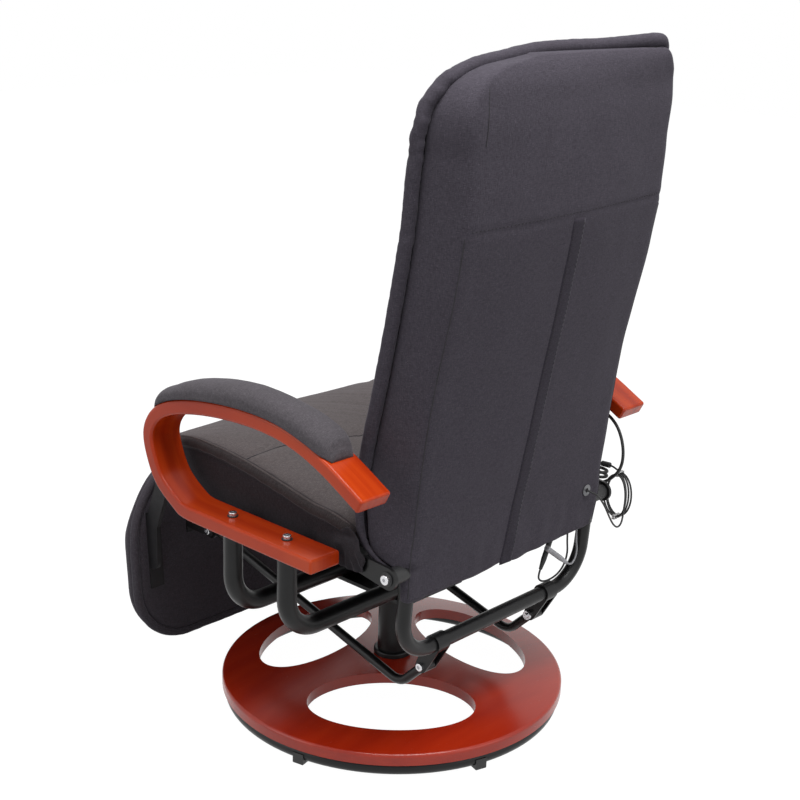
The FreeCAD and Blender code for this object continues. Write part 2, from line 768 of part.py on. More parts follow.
def build_seat():
    rail = box(rail_inner_x, rail_outer_x, rail_front_y, rail_rear_y, carrier_top, rail_top)
    bars = []
    front = ear_rear_y + hinge_front_radius + side_play
    for y in (front, rail_rear_y - cross_setback - cross_width):
        bars.append(box(-rail_inner_x, rail_inner_x, y, y + cross_width,
                        cross_top - cross_height, cross_top))
    save("seat_frame", Part.makeCompound([rail, mirrored(rail)] + bars))
    board = box(-rail_inner_x + rest_gap, rail_inner_x - rest_gap, front,
                rail_rear_y - cross_setback, board_top - board_thickness, board_top)
    save("seat_board", board)
    seat_motor = motor()
    seat_motor.translate(V(0, sum(frame_tube_y) / 2, board_top - board_thickness))
    save("seat_motor", seat_motor)
    sections = [
        crowned_section(y, seat_half_width - less, seat_bottom, welt, crown, seat_draw)
        for y, less, welt, crown in seat_line]
    save("seat_cushion", Part.makeLoft(sections, True, False))


def build_hinges(washers):
    outer = hinge_plate_x + hinge_plate_thickness
    rail_middle = carrier_top + rail_height / 2
    plate = plate_yz((hinge_plate_front_y, rail_middle), hinge_front_radius,
                     (recline_y, recline_z), hinge_end_radius, hinge_plate_x, outer)
    plate = plate.cut(rod((hinge_plate_x, recline_y, recline_z), (outer, recline_y, recline_z),
                          recline_bolt_radius + run_fit))
    save("hinge_plates", pair(plate))
    ear = plate_yz((ear_rear_y, rail_middle), hinge_front_radius, (leg_pivot_y, leg_pivot_z),
                   leg_arm_radius, ear_x, ear_x + ear_thickness)
    ear = ear.cut(rod((ear_x, leg_pivot_y, leg_pivot_z),
                      (ear_x + ear_thickness, leg_pivot_y, leg_pivot_z), bolt_radius + run_fit))
    save("leg_hinge_ears", pair(ear))
    leg_inner = back_half_width - back_tube_radius
    washer_face = outer + bolt_washer_thickness
    grip = washer_face - leg_inner + side_play
    head = Part.makeCylinder(recline_head_radius, bolt_head_height)
    head = head.makeFillet(bolt_head_round, [head.Edges[0]])
    socket = Part.makeCylinder(
        bolt_socket_radius, bolt_socket_depth, V(0, 0, bolt_head_height - bolt_socket_depth))
    shank_length = grip + nut_height + bolt_tail
    shank = Part.makeCylinder(recline_bolt_radius, shank_length, V(0, 0, -shank_length))
    bolt = head.fuse(shank).removeSplitter().cut(socket)
    nut = ring(recline_nut_radius, recline_bolt_radius + run_fit, -grip - nut_height, -grip)
    placed = []
    for shape in (bolt, nut):
        shape.rotate(V(0, 0, 0), Y_AXIS, 90)
        shape.translate(V(washer_face, recline_y, recline_z))
        placed.append(shape)
    washer = ring(recline_washer_radius, recline_bolt_radius + bolt_play, 0, bolt_washer_thickness)
    washer.rotate(V(0, 0, 0), Y_AXIS, 90)
    washer.translate(V(outer, recline_y, recline_z))
    save("bolt_washers", Part.makeCompound(washers + [washer, mirrored(washer)]))
    leg_bolt = socket_bolt(ear_thickness + side_play + leg_arm_thickness + nut_height + bolt_tail)
    leg_bolt.rotate(V(0, 0, 0), Y_AXIS, 90)
    leg_bolt.translate(V(ear_x + ear_thickness, leg_pivot_y, leg_pivot_z))
    nut_x = leg_arm_x - side_play
    leg_nut = rod((nut_x - nut_height, leg_pivot_y, leg_pivot_z), (nut_x, leg_pivot_y, leg_pivot_z),
                  nut_radius)
    leg_nut = leg_nut.cut(rod((nut_x - nut_height, leg_pivot_y, leg_pivot_z),
                              (nut_x, leg_pivot_y, leg_pivot_z), bolt_radius + run_fit))
    placed += [leg_bolt, leg_nut]
    save("pivot_bolts", Part.makeCompound(placed + [mirrored(s) for s in placed]))


# Back

def leg_line_y(z):
    """Y of the lower, straighter part of a back leg's centre line."""
    return back_rail_y + back_lean * (z - back_rail_z)


def back_half_path(extra):
    """The left half of the back tube as a solid bar of its radius plus extra."""
    points = [
        (0, back_rail_y, back_rail_z), (back_half_width, back_rail_y, back_rail_z),
        (back_half_width, leg_line_y(back_knee_z), back_knee_z),
        (back_top_half_width, back_top_y, back_top_z), (0, back_top_y, back_top_z)]
    path, _ = rounded_path(points, [back_bottom_bend, back_knee_bend, back_top_bend])
    return swept(path, back_tube_radius + extra)


def whole_back_tube(extra):
    half = back_half_path(extra)
    return half.fuse(mirrored(half)).removeSplitter()


def leg_at(z):
    """Centre of the left leg above the knee at height z."""
    share = (z - back_knee_z) / (back_top_z - back_knee_z)
    x = back_half_width + (back_top_half_width - back_half_width) * share
    knee_y = leg_line_y(back_knee_z)
    return x, knee_y + (back_top_y - knee_y) * share


def pivot_rod(radius, x0, x1):
    return rod((x0, recline_y, recline_z), (x1, recline_y, recline_z), radius)


def build_back_frame():
    tube = whole_back_tube(0).cut(whole_back_tube(-back_tube_wall))
    reach = back_half_width + back_tube_radius
    hole = pivot_rod(recline_bolt_radius + run_fit, -reach, reach)
    tube = tube.cut(hole)
    save("back_frame", tube)
    seat_of_tube = whole_back_tube(rest_gap)
    bush = pivot_rod(recline_bush_radius, back_half_width, hinge_plate_x - side_play)
    bush = bush.cut(pivot_rod(recline_bolt_radius + run_fit, back_half_width, hinge_plate_x))
    bush = bush.cut(seat_of_tube)
    bush = max(bush.Solids, key=lambda s: s.BoundBox.XMax)
    save("recline_bushes", pair(bush))
    bars = []
    motors = []
    for z in cross_bar_heights:
        x, y = leg_at(z)
        bar = box(-x, x, y - cross_bar_thickness / 2, y + cross_bar_thickness / 2,
                  z - cross_bar_height / 2, z + cross_bar_height / 2)
        bars.append(max(bar.cut(seat_of_tube).Solids, key=lambda s: s.Volume))
        for side in (1, -1):
            shape = motor()
            shape.rotate(V(0, 0, 0), X_AXIS, -90)
            shape.translate(V(side * back_motor_x, y - cross_bar_thickness / 2, z))
            motors.append(shape)
    save("back_cross_bars", Part.makeCompound(bars))
    save("back_motors", Part.makeCompound(motors))
    return seat_of_tube


def cover_section(z, inset, welt_y, rear_inset, rear_y, rear_crown):
    half = seat_half_width - inset
    rear_half = seat_half_width - rear_inset
    return Part.Wire([
        line((-half, welt_y, z), (half, welt_y, z)),
        line((half, welt_y, z), (rear_half, rear_y, z)),
        arc((rear_half, rear_y, z), (0, rear_y + rear_crown, z), (-rear_half, rear_y, z)),
        line((-rear_half, rear_y, z), (-half, welt_y, z))])


def pad_section(z, inset, welt_y, crown):
    half = seat_half_width - inset
    rear = welt_y - rest_gap
    front = rear - pad_edge
    inner = half - pad_edge_draw
    return Part.Wire([
        line((half, rear, z), (-half, rear, z)),
        line((-half, rear, z), (-inner, front, z)),
        arc((-inner, front, z), (0, front - crown, z), (inner, front, z)),
        line((inner, front, z), (half, rear, z))])


def rear_face_y(cover, x, z):
    """Y of the cover's rear panel at the sideways place x and height z."""
    probe = line((x, 0, z), (x, 2 * back_top_y, z))
    return cover.common(probe).BoundBox.YMax


def build_back_cushion(seat_of_tube):
    outer = []
    inner = []
    for z, inset, welt_y, _, rear_inset, rear_y, rear_crown in back_line:
        outer.append(cover_section(z, inset, welt_y, rear_inset, rear_y, rear_crown))
    for z, inset, welt_y, _, rear_inset, rear_y, rear_crown in back_line[1:-2]:
        inner.append(cover_section(z, inset + 2 * cover_wall, welt_y + cover_wall,
                                   rear_inset + cover_wall, rear_y - cover_wall, rear_crown))
    whole = Part.makeLoft(outer, True, False)
    save("closure_strip", closure_strip(whole))
    eyelet_y = rear_face_y(whole, eyelet_x, eyelet_z)
    save("cord_eyelet", eyelet(whole, eyelet_y))
    cover = whole.cut(Part.makeLoft(inner, True, False)).cut(seat_of_tube)
    for sign in (1, -1):
        cover = cover.cut(pivot_rod(hinge_notch_radius, sign * hinge_notch_x, sign * seat_half_width))
    cover = cover.cut(eyelet_rod(eyelet_y, -3 * cover_wall, cover_wall, eyelet_bore + eyelet_lip))
    save("back_cover", max(cover.Solids, key=lambda s: s.Volume))
    pads = [pad_section(z, inset, welt_y, crown)
            for z, inset, welt_y, crown, _, _, _ in back_line if z > pad_bottom]
    bed = whole.copy()
    bed.translate(V(0, -rest_gap, 0))
    pad = Part.makeLoft(pads, True, False).cut(bed).cut(whole)
    save("back_pad", max(pad.Solids, key=lambda s: s.Volume))
    return eyelet_y


def eyelet_rod(face_y, depth, rise, radius):
    return rod((eyelet_x, face_y + depth, eyelet_z), (eyelet_x, face_y + rise, eyelet_z), radius)


def eyelet(whole, face_y):
    """A short tube through the cover with a lip on its rear face."""
    tube = eyelet_rod(face_y, -cover_wall, eyelet_lip, eyelet_bore + eyelet_lip - bolt_play)
    lip = eyelet_rod(face_y, -eyelet_lip, eyelet_lip, eyelet_radius).cut(whole)
    bore = eyelet_rod(face_y, -2 * cover_wall, cover_wall, eyelet_bore)
    return tube.fuse(lip).removeSplitter().cut(bore)


def closure_strip(whole):
    """The strip follows the middle of the rear panel from its seam down to the hem."""
    raised = whole.copy()
    raised.translate(V(0, strip_thickness, 0))
    column = box(strip_x - strip_width / 2, strip_x + strip_width / 2, 0, 2 * back_top_y,
                 back_line[0][0], strip_top)
    strip = raised.common(column).cut(whole)
    return max(strip.Solids, key=lambda s: s.BoundBox.YMax)


# Push links

def build_links():
    rear = (link_x, link_rear_y, link_rear_z)
    bend = (link_x, link_bend_y, link_bend_z)
    front = (link_x, link_front_y, link_front_z)
    path, _ = rounded_path([rear, bend, front], [link_bend])
    half = link_barrel_length / 2
    shape = swept(path, link_tube_radius)
    for centre, radius in ((rear, link_barrel_radius), (front, link_eye_radius)):
        shape = shape.fuse(rod((link_x - half, *centre[1:]), (link_x + half, *centre[1:]), radius))
    shape = shape.removeSplitter()
    for centre, bore in ((rear, bolt_radius + run_fit), (front, link_eye_bore)):
        shape = shape.cut(rod((link_x - half, *centre[1:]), (link_x + half, *centre[1:]), bore))
    save("link_left", shape)
    save("link_right", mirrored(shape))

    inner = clevis_gap / 2
    outer = inner + clevis_wall
    sleeve_radius = back_tube_radius + clevis_sleeve
    clevis = rod((link_x - outer, back_rail_y, back_rail_z), (link_x + outer, back_rail_y, back_rail_z),
                 sleeve_radius)
    for x0, x1 in ((link_x - outer, link_x - inner), (link_x + inner, link_x + outer)):
        clevis = clevis.fuse(plate_yz((back_rail_y, back_rail_z), sleeve_radius,
                                      (link_rear_y, link_rear_z), clevis_end_radius, x0, x1))
    clevis = clevis.removeSplitter()
    clevis = clevis.cut(rod((link_x - outer, back_rail_y, back_rail_z),
                            (link_x + outer, back_rail_y, back_rail_z), back_tube_radius + bolt_play))
    clevis = clevis.cut(rod((link_x - outer, *rear[1:]), (link_x + outer, *rear[1:]), bolt_radius + run_fit))
    save("link_clevises", pair(clevis))
    save("clevis_bolts", pair(cross_bolt(link_rear_y, link_rear_z, outer)))
    return outer


def cross_bolt(y, z, outer):
    """A bolt across a pair of ears round a link, with its nut, as one compound."""
    bolt = socket_bolt(2 * outer + nut_height + bolt_tail)
    bolt.rotate(V(0, 0, 0), Y_AXIS, 90)
    bolt.translate(V(link_x + outer, y, z))
    nut = rod((link_x - outer - nut_height, y, z), (link_x - outer, y, z), nut_radius)
    nut = nut.cut(rod((link_x - outer - nut_height, y, z), (link_x - outer, y, z), bolt_radius + run_fit))
    return Part.makeCompound([bolt, nut])


# Leg rest

def tipped(shape):
    copy = shape.copy()
    copy.rotate(V(0, leg_rear_y, leg_mid_z), X_AXIS, leg_tip)
    return copy


def build_leg_rest(ear_outer):
    face_y = leg_rear_y - leg_board_thickness
    margin = leg_board_margin
    outline = rounded_outline(leg_rear_y, leg_half_width - margin, leg_bottom + margin,
                              leg_top - margin, leg_bottom_round - margin, leg_top_round - margin)
    board = tipped(Part.Face(outline).extrude(V(0, -leg_board_thickness, 0)))
    rows = []
    for depth, inset in leg_pad_rows:
        rows.append(rounded_outline(
            face_y - rest_gap - depth, leg_half_width - inset, leg_bottom + inset, leg_top - inset,
            leg_bottom_round - inset, leg_top_round - inset))
    save("leg_board", board)
    save("leg_pad", tipped(Part.makeLoft(rows, True, False)))

    arm_end = leg_arm_x + leg_arm_thickness
    foot_top = leg_top - margin - leg_top_round / 2
    foot = box(arm_end - leg_foot_width, arm_end, leg_rear_y, leg_rear_y + leg_foot_thickness,
               foot_top - leg_foot_drop, foot_top)
    foot = tipped(foot)
    knee = (leg_rear_y + leg_arm_radius, foot_top - leg_arm_radius)
    arm = plate_yz((leg_pivot_y, leg_pivot_z), leg_arm_radius, knee, leg_arm_radius, leg_arm_x, arm_end)
    tail = plate_yz(knee, leg_arm_radius, (knee[0], knee[1] - leg_foot_drop / 2), leg_arm_radius,
                    leg_arm_x, arm_end)
    arm = arm.fuse(tail).fuse(foot).removeSplitter()
    arm = arm.cut(rod((leg_arm_x, leg_pivot_y, leg_pivot_z), (arm_end, leg_pivot_y, leg_pivot_z),
                      bolt_radius + run_fit))
    arm = arm.cut(board)
    save("leg_arms", pair(arm))

    inner = clevis_gap / 2
    web = tipped(box(link_x - ear_outer, link_x + ear_outer, leg_rear_y, leg_rear_y + leg_foot_thickness,
                     link_front_z - 2 * clevis_end_radius, link_front_z + 2 * clevis_end_radius))
    bracket = web
    root = (leg_rear_y + clevis_end_radius, link_front_z)
    for x0, x1 in ((link_x - ear_outer, link_x - inner), (link_x + inner, link_x + ear_outer)):
        bracket = bracket.fuse(plate_yz(root, clevis_end_radius, (link_front_y, link_front_z),
                                        clevis_end_radius, x0, x1))
    bracket = bracket.removeSplitter().cut(board)
    bracket = bracket.cut(rod((link_x - ear_outer, link_front_y, link_front_z),
                              (link_x + ear_outer, link_front_y, link_front_z), bolt_radius + bolt_play))
    save("leg_brackets", pair(bracket))
    save("leg_link_pins", pair(cross_bolt(link_front_y, link_front_z, ear_outer)))


# Handset

def build_handset():
    x0 = handset_x
    x1 = x0 + handset_thickness
    y0 = handset_y - handset_width / 2
    y1 = handset_y + handset_width / 2
    top = handset_bottom + handset_length
    case = box(x0, x1, y0, y1, handset_bottom, top)
    case = case.makeFillet(handset_round, case.Edges)
    half = key_width / 2
    for number, height in enumerate(key_heights):
        z = handset_bottom + height
        well = half + key_play
        sunk = key_thickness - key_rise
        case = case.cut(box(x1 - sunk - key_travel - key_play, x1,
                            handset_y - well, handset_y + well, z - well, z + well))
        key = box(x1 - sunk, x1 + key_rise, handset_y - half, handset_y + half, z - half, z + half)
        rim = [e for e in key.Edges if e.BoundBox.XMin > x1 + key_rise - tolerance]
        save("handset_key_" + str(number + 1), key.makeFillet(key_edge_round, rim))
    middle_x = (x0 + x1) / 2
    relief = Part.makeCone(relief_base_radius, handset_cord_diameter / 2 + relief_wall, relief_length,
                           V(middle_x, handset_y, top))
    save("handset_case", case)
    save("handset_relief", relief)
    outer_x = x0 - pocket_play - pocket_wall
    inner_x = -(seat_half_width + rest_gap)
    bottom = handset_bottom - pocket_play - pocket_wall
    wide = handset_width / 2 + pocket_side_play
    pocket = box(outer_x, inner_x, handset_y - wide - pocket_wall, handset_y + wide + pocket_wall,
                 bottom, bottom + pocket_height)
    pocket = pocket.cut(box(outer_x + pocket_wall, inner_x - pocket_wall, handset_y - wide,
                            handset_y + wide, bottom + pocket_wall, bottom + pocket_height))
    save("handset_pocket", pocket)


# Cords

def beside_seat(points):
    return [V(-seat_half_width - out, y, z) for out, y, z in points]


def inside_leg(points):
    return [V(inwards - back_half_width, y, z) for inwards, y, z in points]


def thick_loop_at(t):
    angle = -2 * math.pi * t
    x, y, z = beside_seat([thick_loop_centre])[0]
    return V(x + thick_loop_half_x * math.cos(angle), y + thick_loop_half_y * math.sin(angle),
             z + thick_loop_rise * t)


def lead_hank_at(t):
    angle = math.pi / 2 - 2 * math.pi * t
    x, y, z = beside_seat([lead_hank_centre])[0]
    step = lead_hank_step + lead_hank_fan * math.cos(angle) ** 2
    return V(x + step * t, y + lead_hank_half_y * math.cos(angle), z + lead_hank_half_z * math.sin(angle))


def tie_round(centre, half_x, half_z):
    x, y, z = centre
    front = y - tie_width / 2
    rear = y + tie_width / 2
    outer = box(x - half_x - tie_wall, x + half_x + tie_wall, front, rear,
                z - half_z - tie_wall, z + half_z + tie_wall)
    return outer.cut(box(x - half_x, x + half_x, front, rear, z - half_z, z + half_z))


def lead_with_plug(colour, points, ends):
    """A lead that hangs out of the hem and the tapered connector on its end."""
    start, end = inside_leg(ends)
    length = (end - start).Length
    along = (end - start).normalize()
    taper = length / 3
    tail = Part.makeCone(plug_tail_radius, plug_radius, taper, start, along)
    body = Part.makeCylinder(plug_radius, length - taper, start + along * taper, along)
    save(colour + "_connector", tail.fuse(body).removeSplitter())
    cord(colour + "_lead", inside_leg(points) + [start - along * plug_lead_in, start], lead_diameter)


def build_cords(eyelet_y):
    loops_start, loops_end = wound(
        "handset_cord_loops", thick_loop_at, thick_loop_turns, handset_cord_diameter)
    lead_in = heading(thick_loop_at, 0) * cord_lead_in
    relief_end = V(handset_x + handset_thickness / 2, handset_y,
                   handset_bottom + handset_length + relief_length)
    cord("handset_cord", [relief_end, relief_end + Z_AXIS * relief_cord_run]
         + beside_seat(handset_cord_points) + [loops_start - lead_in, loops_start],
         handset_cord_diameter)
    along = heading(thick_loop_at, thick_loop_turns)
    joint_end = loops_end + along * joint_length
    save("cord_joint", rod(loops_end, joint_end, joint_radius))
    hank_start, hank_end = wound("lead_hank", lead_hank_at, lead_hank_turns, lead_diameter)
    cord("lead_start", [
        joint_end, joint_end + along * lead_lead_in,
        hank_start - heading(lead_hank_at, 0) * lead_lead_in, hank_start], lead_diameter)
    drop = heading(lead_hank_at, lead_hank_turns) * lead_tail_drop
    eyelet_mouth = V(eyelet_x, eyelet_y + eyelet_lip, eyelet_z)
    cord("lead_tail", [hank_end, hank_end + drop] + beside_seat(lead_tail_points) + [eyelet_mouth],
         lead_diameter)
    strands = math.ceil(lead_hank_turns)
    half_bundle = (strands - 1) * lead_hank_step / 2
    half_z = lead_diameter / 2 + side_play
    x, y, z = beside_seat([lead_hank_centre])[0]
    ties = [tie_round((x + half_bundle, y, z + side * lead_hank_half_z), half_bundle + half_z, half_z)
            for side in (1, -1)]
    save("cord_ties", Part.makeCompound(ties))
    lead_with_plug("black", black_lead_points, black_plug)
    lead_with_plug("grey", grey_lead_points, grey_plug)


os.makedirs("parts", exist_ok=True)
build_base()
build_swivel()
build_frame()
arm_washers = build_arms()
build_seat()
build_hinges(arm_washers)
tube_seat = build_back_frame()
eyelet_face_y = build_back_cushion(tube_seat)
link_ear_outer = build_links()
build_leg_rest(link_ear_outer)
build_handset()
build_cords(eyelet_face_y)
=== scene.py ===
import json
import math

import bmesh
import bpy
import numpy as np
from mathutils import Matrix, Vector, noise
from mathutils.bvhtree import BVHTree


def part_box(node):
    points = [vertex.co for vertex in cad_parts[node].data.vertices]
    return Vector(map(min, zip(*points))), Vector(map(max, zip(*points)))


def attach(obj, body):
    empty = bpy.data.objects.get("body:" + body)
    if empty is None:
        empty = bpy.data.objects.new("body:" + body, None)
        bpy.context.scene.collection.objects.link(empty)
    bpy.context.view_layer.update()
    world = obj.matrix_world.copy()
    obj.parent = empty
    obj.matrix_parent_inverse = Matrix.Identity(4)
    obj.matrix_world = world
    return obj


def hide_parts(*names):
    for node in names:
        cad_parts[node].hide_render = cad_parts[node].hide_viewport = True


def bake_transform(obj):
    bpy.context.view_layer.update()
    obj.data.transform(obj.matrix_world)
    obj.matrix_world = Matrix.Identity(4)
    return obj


# A reclining swivel massage armchair. Lengths are written in millimetres and
# turned into metres where a mesh or a curve is made.
MM = 0.001
SIDES = {1: "left", -1: "right"}

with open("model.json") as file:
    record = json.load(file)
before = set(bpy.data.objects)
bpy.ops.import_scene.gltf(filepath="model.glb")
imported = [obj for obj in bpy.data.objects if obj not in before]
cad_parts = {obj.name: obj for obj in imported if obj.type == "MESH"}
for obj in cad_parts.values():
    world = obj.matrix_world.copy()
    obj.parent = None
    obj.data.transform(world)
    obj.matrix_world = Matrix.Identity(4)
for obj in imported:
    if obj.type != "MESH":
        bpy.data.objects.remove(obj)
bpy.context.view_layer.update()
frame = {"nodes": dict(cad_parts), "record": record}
nodes = frame["nodes"]
scene = bpy.context.scene


def placed(name, data):
    """A new object in the scene."""
    obj = bpy.data.objects.new(name, data)
    scene.collection.objects.link(obj)
    return obj


# Camera

CAMERA_PLACE = (1548.06, 1436.44, 1157.04)
CAMERA_AZIMUTH = math.radians(132.864)
CAMERA_PITCH = math.radians(17.571)
CAMERA_ROLL = math.radians(1.738)

camera_data = bpy.data.cameras.new("camera")
camera_data.sensor_width = 36.0
camera_data.lens = 66.07
camera = placed("camera", camera_data)
scene.camera = camera
look_back = Vector((math.sin(CAMERA_AZIMUTH) * math.cos(CAMERA_PITCH),
                    -math.cos(CAMERA_AZIMUTH) * math.cos(CAMERA_PITCH),
                    math.sin(CAMERA_PITCH)))
level_right = Vector((0, 0, 1)).cross(look_back).normalized()
level_up = look_back.cross(level_right)
tilt_right = level_right * math.cos(CAMERA_ROLL) + level_up * math.sin(CAMERA_ROLL)
tilt_up = level_up * math.cos(CAMERA_ROLL) - level_right * math.sin(CAMERA_ROLL)
turn = Matrix((tilt_right, tilt_up, look_back)).transposed()
camera.matrix_world = Matrix.Translation(Vector(CAMERA_PLACE) * MM) @ turn.to_4x4()


# Materials

def put(node, **values):
    """Sets inputs of a shader node by name, with a low line for a space."""
    for key, value in values.items():
        node.inputs[key.replace("_", " ")].default_value = value


class Nodes:
    """A material's node tree, with short calls for the nodes used here."""

    def __init__(self, name):
        self.material = bpy.data.materials.new(name)
        self.material.use_nodes = True
        self.tree = self.material.node_tree
        self.shader = self.tree.nodes["Principled BSDF"]
        self.place = self.add("ShaderNodeTexCoord").outputs["Object"]

    def add(self, kind, **settings):
        node = self.tree.nodes.new(kind)
        for key, value in settings.items():
            setattr(node, key, value)
        return node

    def link(self, source, target):
        self.tree.links.new(source, target)

    def set(self, **values):
        put(self.shader, **values)

    def feed(self, **sources):
        for key, source in sources.items():
            self.link(source, self.shader.inputs[key.replace("_", " ")])

    def fill(self, socket, value):
        """Puts a number, a colour or a link into a socket."""
        if isinstance(value, (int, float)):
            socket.default_value = value
        elif isinstance(value, tuple):
            socket.default_value = (*value, 1.0)
        else:
            self.link(value, socket)

    def noise(self, scale, detail=2.0, rough=0.5, stretch=(1, 1, 1)):
        mapping = self.add("ShaderNodeMapping")
        put(mapping, Scale=stretch)
        self.link(self.place, mapping.inputs["Vector"])
        node = self.add("ShaderNodeTexNoise")
        put(node, Scale=scale, Detail=detail, Roughness=rough)
        self.link(mapping.outputs["Vector"], node.inputs["Vector"])
        return node.outputs["Fac"]

    def math(self, operation, a, b):
        node = self.add("ShaderNodeMath", operation=operation)
        self.fill(node.inputs[0], a)
        self.fill(node.inputs[1], b)
        return node.outputs["Value"]

    def ramp(self, source, stops):
        node = self.add("ShaderNodeValToRGB")
        elements = node.color_ramp.elements
        while len(elements) < len(stops):
            elements.new(0.5)
        for element, (where, colour) in zip(elements, stops):
            element.position = where
            element.color = (*colour, 1.0)
        self.link(source, node.inputs["Fac"])
        return node.outputs["Color"]

    def mix(self, factor, a, b, blend="MIX"):
        node = self.add("ShaderNodeMix", data_type="RGBA", blend_type=blend)
        for socket, value in ((0, factor), (6, a), (7, b)):
            self.fill(node.inputs[socket], value)
        return node.outputs[2]

    def span(self, source, low, high):
        node = self.add("ShaderNodeMapRange")
        put(node, To_Min=low, To_Max=high)
        self.link(source, node.inputs["Value"])
        return node.outputs["Result"]

    def bump(self, height, distance, strength=1.0):
        node = self.add("ShaderNodeBump")
        put(node, Strength=strength, Distance=distance)
        self.link(height, node.inputs["Height"])
        self.feed(Normal=node.outputs["Normal"])


def shade(colour):
    """An sRGB colour of 0 to 255 as the linear colour that a shader takes."""
    return tuple((c / 255 / 12.92) if c < 10.3 else ((c / 255 + 0.055) / 1.055) ** 2.4 for c in colour)


def toned(colour, share):
    """A colour made darker or lighter."""
    return tuple(min(1.0, c * share) for c in colour)


def fabric(name, colour, threads):
    """Charcoal cloth with fine threads, faint streaks and pale flecks.

    threads are the noise's stretches along the warp and along the weft.
    """
    n = Nodes(name)
    warp = n.noise(1.0, 1.0, 0.4, threads[0])
    weft = n.noise(1.0, 1.0, 0.4, threads[1])
    weave = n.math("ADD", n.math("MULTIPLY", warp, 0.5), n.math("MULTIPLY", weft, 0.5))
    cloth = n.ramp(weave, [(0.34, toned(colour, 0.78)), (0.5, colour), (0.66, toned(colour, 1.24))])
    patch = n.span(n.noise(6.0, 3.0), 0.92, 1.08)
    cloth = n.mix(1.0, cloth, patch, "MULTIPLY")
    fleck = n.ramp(n.noise(640.0, 0.0), [(0.70, (0.0, 0.0, 0.0)), (0.78, (1.0, 1.0, 1.0))])
    n.feed(Base_Color=n.mix(n.math("MULTIPLY", fleck, 0.4), cloth, toned(colour, 2.2)))
    n.set(Roughness=0.9, Sheen_Weight=0.12, Sheen_Roughness=0.4, Sheen_Tint=(0.8, 0.78, 0.88, 1.0),
          Specular_IOR_Level=0.15)
    n.bump(n.math("ADD", weave, n.math("MULTIPLY", n.noise(70.0, 2.0), 0.35)), 0.0008, 0.4)
    return n.material


def wood(name, dark, plain, light, grain, fine, gloss):
    """Red-stained wood under gloss lacquer. The grain runs in the directions where its stretch is small."""
    n = Nodes(name)
    broad = n.noise(1.0, 3.0, 0.5, grain)
    pores = n.noise(1.0, 2.0, 0.6, fine)
    colour = n.ramp(broad, [(0.30, dark), (0.5, plain), (0.70, light)])
    pits = n.ramp(pores, [(0.56, (0, 0, 0)), (0.74, (1, 1, 1))])
    n.feed(Base_Color=n.mix(n.math("MULTIPLY", pits, 0.22), colour, dark),
           Roughness=n.span(pores, 0.20, 0.30))
    n.set(Specular_IOR_Level=gloss)
    n.bump(pores, 0.0002, 0.12)
    return n.material


def paint(name, colour, rough, peel, gloss=0.5):
    """Satin paint or moulded plastic: a fine peel in the surface and uneven gloss."""
    n = Nodes(name)
    n.set(Specular_IOR_Level=gloss)
    tone = n.noise(35.0, 3.0)
    n.feed(Base_Color=n.ramp(tone, [(0.3, toned(colour, 0.75)), (0.7, toned(colour, 1.3))]),
           Roughness=n.span(n.noise(90.0, 3.0), rough - 0.08, rough + 0.1))
    n.bump(n.noise(700.0, 1.0), peel, 0.4)
    return n.material


def metal(name, colour, rough):
    n = Nodes(name)
    turned = n.noise(1.0, 2.0, 0.5, (60, 900, 900))
    n.feed(Base_Color=n.ramp(turned, [(0.3, toned(colour, 0.82)), (0.7, colour)]),
           Roughness=n.span(turned, rough, rough + 0.18))
    n.set(Metallic=1.0)
    n.bump(turned, 0.0002, 0.3)
    return n.material


def clear_plastic(name):
    n = Nodes(name)
    n.feed(Base_Color=n.ramp(n.noise(200.0), [(0.3, (0.62, 0.62, 0.62)), (0.7, (0.85, 0.85, 0.85))]))
    n.set(Roughness=0.28, Transmission_Weight=0.5, IOR=1.45)
    n.bump(n.noise(400.0), 0.0003, 0.3)
    return n.material


# Thread stretches of cloth that stands up and of cloth that lies
UPRIGHT = ((950, 950, 170), (170, 170, 1100))
LYING = ((1000, 170, 1000), (170, 1000, 170))
back_cloth = fabric("back_cloth", shade((68, 64, 72)), UPRIGHT)
seat_cloth = fabric("seat_cloth", shade((90, 84, 84)), LYING)
# The seat roll's cloth is the seat's cloth painted darker: painted shade on the roll's face, which looks
# sideways
painted_shade_roll_cloth = fabric("painted_shade_roll_cloth", shade((62, 57, 58)), LYING)
boxing_cloth = fabric("boxing_cloth", shade((50, 47, 51)), UPRIGHT)
pad_cloth = fabric("arm_pad_cloth", shade((82, 78, 82)), LYING)
strip_cloth = fabric("strip_cloth", shade((54, 50, 58)), UPRIGHT)
board_cloth = fabric("board_cloth", shade((68, 64, 70)), UPRIGHT)
thread = paint("dark_thread", shade((38, 35, 40)), 0.8, 0.0002)
arm_wood = wood("arm_wood", shade((166, 46, 10)), shade((182, 56, 14)), shade((196, 68, 18)),
                (60, 4, 4), (900, 14, 14), 0.25)
base_wood = wood("base_wood", shade((158, 34, 9)), shade((166, 38, 10)), shade((173, 42, 12)),
                 (6, 40, 40), (20, 900, 900), 0.5)
black_paint = paint("black_paint", shade((18, 18, 19)), 0.34, 0.0004, 0.3)
dull_black = paint("dull_black", shade((32, 31, 33)), 0.6, 0.0004, 0.2)
black_plastic = paint("black_moulding", shade((28, 28, 29)), 0.5, 0.0006)
black_rubber = paint("black_jacket", shade((24, 24, 25)), 0.55, 0.0003)
grey_jacket = paint("grey_jacket", shade((150, 150, 154)), 0.5, 0.0003)
nylon = paint("natural_nylon", shade((224, 220, 210)), 0.5, 0.0003)
bright_steel = metal("bright_steel", (0.72, 0.72, 0.74), 0.16)
dark_steel = metal("dark_steel", (0.2, 0.2, 0.21), 0.3)
tie_plastic = clear_plastic("tie_plastic")

